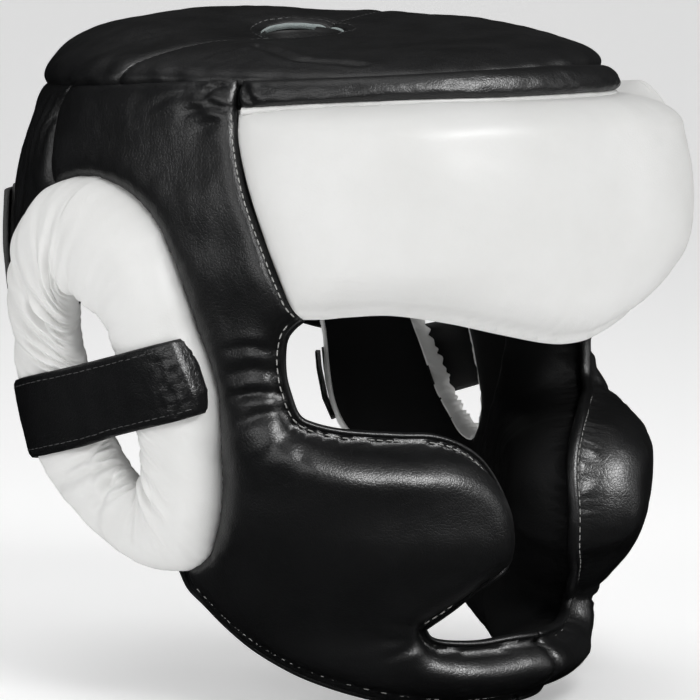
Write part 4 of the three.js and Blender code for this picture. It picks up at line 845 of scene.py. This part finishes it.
# ------------------------------------------------------------------ crown
CROWN_TOP, VENT = 139.0, 15.5
def alpha(t): return 90 + 16 * np.clip(t, 0, 1) ** 0.7          # where the cross seam runs
def crown_top(x, y):
    """the soft crown sags round the vent and towards the right temple"""
    L, u = 0.766 * x + 0.643 * y, 0.643 * x - 0.766 * y
    return np.minimum(139.3, smooth_interp(L, [-100, -60, -30, -15, 0, 15, 30, 50, 70, 100], [121, 123.4, 125.8, 127.2, 129.2, 132, 134.8, 137.5, 138.8, 138.5]) + 5.0 * (u / 85) ** 2)
def crown_point(a, t, inward=0.0, flat=0.0, hole=VENT, detail=True, seed=4):
    """a: degrees from the front; t: 0 at the vent, 1 at the seam"""
    base = seam_z(a) - 1.8
    R = r_edge(a, seam_z(a)) - inward
    r = hole + (R - hole) * t
    rho = np.minimum(1, r / R)
    g = np.where(rho <= flat, 1, np.maximum(0, 1 - (np.maximum(rho - flat, 0) / (1 - flat)) ** 3.6) ** 0.5)
    x, y = r * np.sin(np.radians(a)), AXIS_Y * t - r * np.cos(np.radians(a))
    z = base + (np.minimum(CROWN_TOP - inward, crown_top(x, y) - (inward if inward < 6 else 2.5 + 0.3 * inward)) - base) * g
    if detail:
        s = np.where(fold(a) < alpha(t), 1, -1) * (alpha(t) - fold(a)) * np.radians(1) * np.maximum(r, 20)
        groove = -1.7 * (1 - quarter(s / 6.5))
        vent = -1.5 * np.exp(-((r - VENT) / 2.6) ** 2) - 0.5 * np.exp(-((r - VENT - 4.3) / 0.9) ** 2)
        P = np.stack([x, y], -1)
        w = 0.7 * waves(P.reshape(-1, 2), seed, 46).reshape(np.shape(x)) + 0.08 * waves(P.reshape(-1, 2), seed + 1, 10, 18).reshape(np.shape(x))
        # a long soft crease across the front panel
        cr, _ = near(P.reshape(-1, 2), np.array([[-52, -22], [-62, -48], [-60, -78]], float))
        w += (-0.8 * np.exp(-(cr / 2.2) ** 2) + 0.5 * np.exp(-((cr - 4.5) / 3) ** 2)).reshape(np.shape(x))
        dz = groove + vent + w * ease((R - r) / 10)
        side = ease((rho - 0.8) / 0.2)
        z = z + dz * (1 - side)
        low = ease((1 - (z - base) / 9.0))
        rr = -1.8 * low ** 3 + 0.6 * np.sin(np.clip((z - base) / 22.0, 0, 1) * np.pi) + groove * side + 0.5 * side * waves(np.stack([a * MM, z], -1).reshape(-1, 2), seed + 2, 18).reshape(np.shape(x))
        x, y = x + rr * np.sin(np.radians(a)), y - rr * np.cos(np.radians(a))
    return np.stack([x, y, z], -1)
tq = 1 - (1 - np.linspace(0, 1, 92)) ** 1.9
th_crown = Threads()
def crown_panel(front, n, **k):
    q = np.linspace(-1, 1, n)
    rows = []
    for v in q:
        a = v * alpha(tq) if front else 180 + v * (180 - alpha(tq))
        rows.append(crown_point(a, tq, **k))
    return np.array(rows)
for name, front, n, rep in (("crown_front_panel", True, 260, "crown_front_cover"), ("crown_rear_panel", False, 190, "crown_rear_cover")):
    A = crown_panel(front, n)
    B = crown_panel(front, n, inward=2.2)
    V, F, tag = grid_shell(A, B)
    orient(make(name, V, F, [M["crown"], M["raw"]], face_mat=(tag == 2).astype(int), replaces=[rep]))
def crown_row(t_fun, a0, a1, **k):
    a = np.linspace(a0, a1, 400)
    t = t_fun(a)
    X = crown_point(a, t)
    U, W = crown_point(a + 0.5, t) - X, crown_point(a, t + 0.004) - X
    N = np.cross(W, U); N /= np.linalg.norm(N, axis=1)[:, None] + 1e-9
    N[N[:, 2] < 0] *= -1
    th_crown.row(X, N, **k)
R_at = lambda a: r_edge(a, seam_z(a))
crown_row(lambda a: 4.3 / (R_at(a) - VENT), -180, 180, pitch=3.2, length=2.3, radius=0.3, seed=1)
for sgn in (-1, 1):
    for off_ in (-2.2,):
        t = np.linspace(0.08, 0.97, 300)
        r = VENT + (R_at(sgn * alpha(t)) - VENT) * t
        a = sgn * (alpha(t) + off_ / np.radians(1) / r)
        X = crown_point(a, t)
        U, W = crown_point(a + 0.5, t) - X, crown_point(a, np.minimum(1, t + 0.004)) - X
        N = np.cross(W, U); N /= np.linalg.norm(N, axis=1)[:, None] + 1e-9
        N[((N * (X - [0, -8, 60])).sum(1)) < 0] *= -1
        th_crown.row(X, N, pitch=3.4, length=2.2, radius=0.17, seed=5)
th_crown.done("crown_stitching", M["thread_dark"])
aa = np.linspace(-180, 180, 120, endpoint=False)
def ring_of(ts, **k): return np.array([crown_point(np.full(len(ts), a), ts, detail=False, **k) for a in aa])
tl = 1 - (1 - np.linspace(0, 1, 34)) ** 1.6
V, F, tag = grid_shell(ring_of(tl * 0.98 + 0.01, inward=3.6), ring_of(tl * 0.98 + 0.01, inward=16.5, flat=0.5), wrap=True)
orient(make("crown_foam", V, F, M["foam"], replaces=["crown_padding"]))
V, F, tag = grid_shell(ring_of(tl, inward=17.6, flat=0.5), ring_of(tl, inward=19.6, flat=0.5), wrap=True)
orient(make("crown_inner", V, F, [M["lining"], M["raw"]], face_mat=(tag == 2).astype(int), replaces=["crown_lining"]))
# the short sleeve that binds the vent between leather and lining
ang = np.linspace(0, 2 * np.pi, 96, endpoint=False)
zz = np.array([-9.5, -7.5, -5.0, -2.6])
rim = lambda t: float(crown_top(VENT * math.sin(t), -VENT * math.cos(t)))
tube_o = np.array([[[(VENT + 1.2 + 0.5 * math.sin(3 * t)) * math.sin(t), -(VENT + 1.2 + 0.5 * math.sin(3 * t)) * math.cos(t), rim(t) + z] for z in zz] for t in ang])
tube_i = np.array([[[(VENT + 0.3 + 0.4 * math.sin(3 * t)) * math.sin(t), -(VENT + 0.3 + 0.4 * math.sin(3 * t)) * math.cos(t), rim(t) + z] for z in zz] for t in ang])
V, F, tag = grid_shell(tube_o, tube_i, wrap=True)
orient(make("vent_sleeve", V, F, M["lining"]))
th_main.done("panel_stitching", M["thread"])

# ------------------------------------------------------------------ closure behind
def tall(d): return np.max([r_edge(d, z) for z in (14, 30, 50, 64)], axis=0)
th_flap, th_back = Threads(), Threads()
def plate(name, d0, d1, lo, hi, k0, k1, mats, n=60, body="shell", rep=(), round0=0.0, round1=0.0, seed=1, wave=0.12, stitch=None, mat_t="thread_dark"):
    dd = np.linspace(d0, d1, n)
    s = np.abs(dd - dd[0]) * MM * 1.1
    S = s[-1]
    cut = np.zeros(n)
    for rr, dist_ in ((round0, s), (round1, S - s)):
        if rr: cut = np.maximum(cut, np.where(dist_ < rr, rr - np.sqrt(np.maximum(0, rr ** 2 - (rr - dist_) ** 2)), 0))
    def mid_(i):
        return lambda zz: r_edge(dd[i], zz) + 0.8 + (k0 + k1) / 2 + wave * waves(np.stack([np.full(len(zz), dd[i] * MM), zz], 1), seed, 16)
    R = band(dd, lo + cut, hi - cut, [mid_(i) for i in range(n)], k1 - k0, n_flat=14, edge=0.9)
    V, F = tube(R)
    o = make(name, V, F, mats, face_mat=band_tags(n, 14) if len(mats) > 1 else None, body=body, replaces=rep)
    orient(o)
    if stitch is not None:
        th, e = stitch
        path = [(d, lo + e) for d in np.linspace(dd[0] + np.sign(d1 - d0) * e / MM, dd[-1] - np.sign(d1 - d0) * (e + round1 * 0.3) / MM, 40)]
        path += [(path[-1][0], z) for z in np.linspace(lo + e, hi - e, 14)[1:]]
        path += [(d, hi - e) for d, _ in path[:40][::-1][1:]]
        path += [(path[-1][0], z) for z in np.linspace(hi - e, lo + e, 14)[1:]]
        X = np.array([place(d, z, float(r_edge(d, z)) + 0.8 + k1) for d, z in path])
        N = X - [0, AXIS_Y, 0]; N[:, 2] = 0; N /= np.linalg.norm(N, axis=1)[:, None]
        th.row(X, N, pitch=3.4, length=2.4, radius=0.26, seed=seed)
    return o
plate("closure_root", -151.6, -171, FLAP_LO - 2, FLAP_HI + 2, 0.5, 3.1, [M["strap"], M["cut"]], rep=["closure_root_patch"], stitch=(th_back, 2.6), seed=3)
plate("closure_loop", 172, 148, FLAP_LO + 2, FLAP_HI - 2, 0.3, 1.7, [M["loop"]], rep=["closure_loop_patch"], seed=4, wave=0.05, stitch=(th_back, 2.0))
plate("closure_hook", -189, -208, FLAP_LO + 4, FLAP_HI - 4, 2.05, 3.3, [M["hook"]], body="flap", rep=["closure_hook_patch"], seed=5, wave=0.0)
plate("closure_pull", -150, -210, FLAP_LO, FLAP_HI, 3.55, 5.7, [M["strap"], M["cut"]], n=120, body="flap", rep=["closure_flap"], round1=9.0, stitch=(th_flap, 2.8), seed=6, wave=0.12)
def elastic_mid(zz, d): return r_edge(d, zz) - 9.0
ed = np.linspace(-173.2, -186.8, 16)
R = band(ed, np.full(16, FLAP_LO + 6), np.full(16, FLAP_HI - 6), [(lambda zz, d=d: elastic_mid(zz, d)) for d in ed], 1.8, n_flat=12, edge=0.6)
V, F = tube(R)
orient(make("closure_band", V, F, M["elastic"], replaces=["closure_elastic"]))
th_flap.done("flap_stitching", M["thread_dark"], body="flap")
th_back.done("closure_stitching", M["thread_dark"])

# ------------------------------------------------------------------ camera, light and floor
cam = bpy.data.cameras.new("camera"); cam.lens = 205.7; cam.sensor_width = 36.0
co = bpy.data.objects.new("camera", cam); bpy.context.scene.collection.objects.link(co)
co.location = (-1.171, -0.9825, 0.1714)
fwd, rgt = Vector((0.7613, 0.6388, -0.1115)).normalized(), Vector((0.6428, -0.7660, 0.0)).normalized()
up = rgt.cross(fwd)
aim = (fwd * 4000 + rgt * 48 + up * 15).normalized()
co.rotation_euler = aim.to_track_quat("-Z", "Y").to_euler()
cam.clip_end = 60
bpy.context.scene.camera = co

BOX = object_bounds()
floor_z = min(float(BOX[0][2]), CAD_BOX[0][2]) - 0.0005
prof = [(-4.0, 0.0), (3.2, 0.0)] + [(3.2 + 1.6 * math.sin(t), 1.6 - 1.6 * math.cos(t)) for t in np.linspace(0.1, math.pi / 2, 14)] + [(4.8, 6.0)]
dirn = np.array([0.766, 0.643]); lat = np.array([-0.643, 0.766])
V, F = [], []
for i, (a, h) in enumerate(prof):
    for w in (-6.0, 6.0):
        p = dirn * a + lat * w
        V.append((p[0], p[1], floor_z + h))
for i in range(len(prof) - 1): F.append([2 * i, 2 * i + 2, 2 * i + 3, 2 * i + 1])
me = bpy.data.meshes.new("floor"); me.from_pydata(V, [], F); me.polygons.foreach_set("use_smooth", np.ones(len(F), bool)); me.update()
floor = bpy.data.objects.new("floor", me); bpy.context.scene.collection.objects.link(floor)
fm, nt, b = nodes_of("floor_paint")
b.inputs["Base Color"].default_value = (0.92, 0.92, 0.92, 1); b.inputs["Emission Color"].default_value = (1, 1, 1, 1); b.inputs["Emission Strength"].default_value = 0.3; b.inputs["Roughness"].default_value = 0.9; b.inputs["Specular IOR Level"].default_value = 0.1
me.materials.append(fm)

world = bpy.data.worlds.new("world"); bpy.context.scene.world = world; world.use_nodes = True
world.node_tree.nodes["Background"].inputs["Color"].default_value = (1, 1, 1, 1)
world.node_tree.nodes["Background"].inputs["Strength"].default_value = 0.32
world.cycles_visibility.glossy = False   # the leather mirrors the soft boxes, not the pale room
floor.visible_glossy = False
def area(name, loc, target, size, power, size_y=None, sheen_only=False):
    l = bpy.data.lights.new(name, "AREA"); l.energy = power; l.size = size
    if size_y: l.shape = "RECTANGLE"; l.size_y = size_y
    o = bpy.data.objects.new(name, l); bpy.context.scene.collection.objects.link(o)
    o.location = loc
    if sheen_only: o.visible_diffuse = False     # a narrow soft box that only shows in the leather's gloss
    o.rotation_euler = (Vector(target) - Vector(loc)).to_track_quat("-Z", "Y").to_euler()
    return o
area("key", (-0.55, -1.15, 1.25), (0, 0, 0.0), 0.7, 8.6, 0.5)
area("left", (-1.5, 0.35, 0.75), (0, 0, 0), 0.45, 6, 0.9)
area("front_left", (-0.42, -1.0, 0.92), (-0.05, -0.05, -0.02), 0.42, 6.0, 0.2, True)
area("over_front", (0.0, -1.02, 0.92), (-0.05, -0.1, -0.03), 0.34, 20.0, 0.42, True)
area("near_side", (-1.25, -0.35, 0.62), (-0.08, 0.0, 0.02), 0.12, 3.0, 0.5, True)
area("right", (0.75, -1.2, 0.35), (0, 0, -0.02), 0.35, 2.5, 0.8)
area("top", (0.0, 0.3, 1.6), (0, 0, 0), 1.0, 5)
bpy.context.scene.view_settings.view_transform = "Standard"
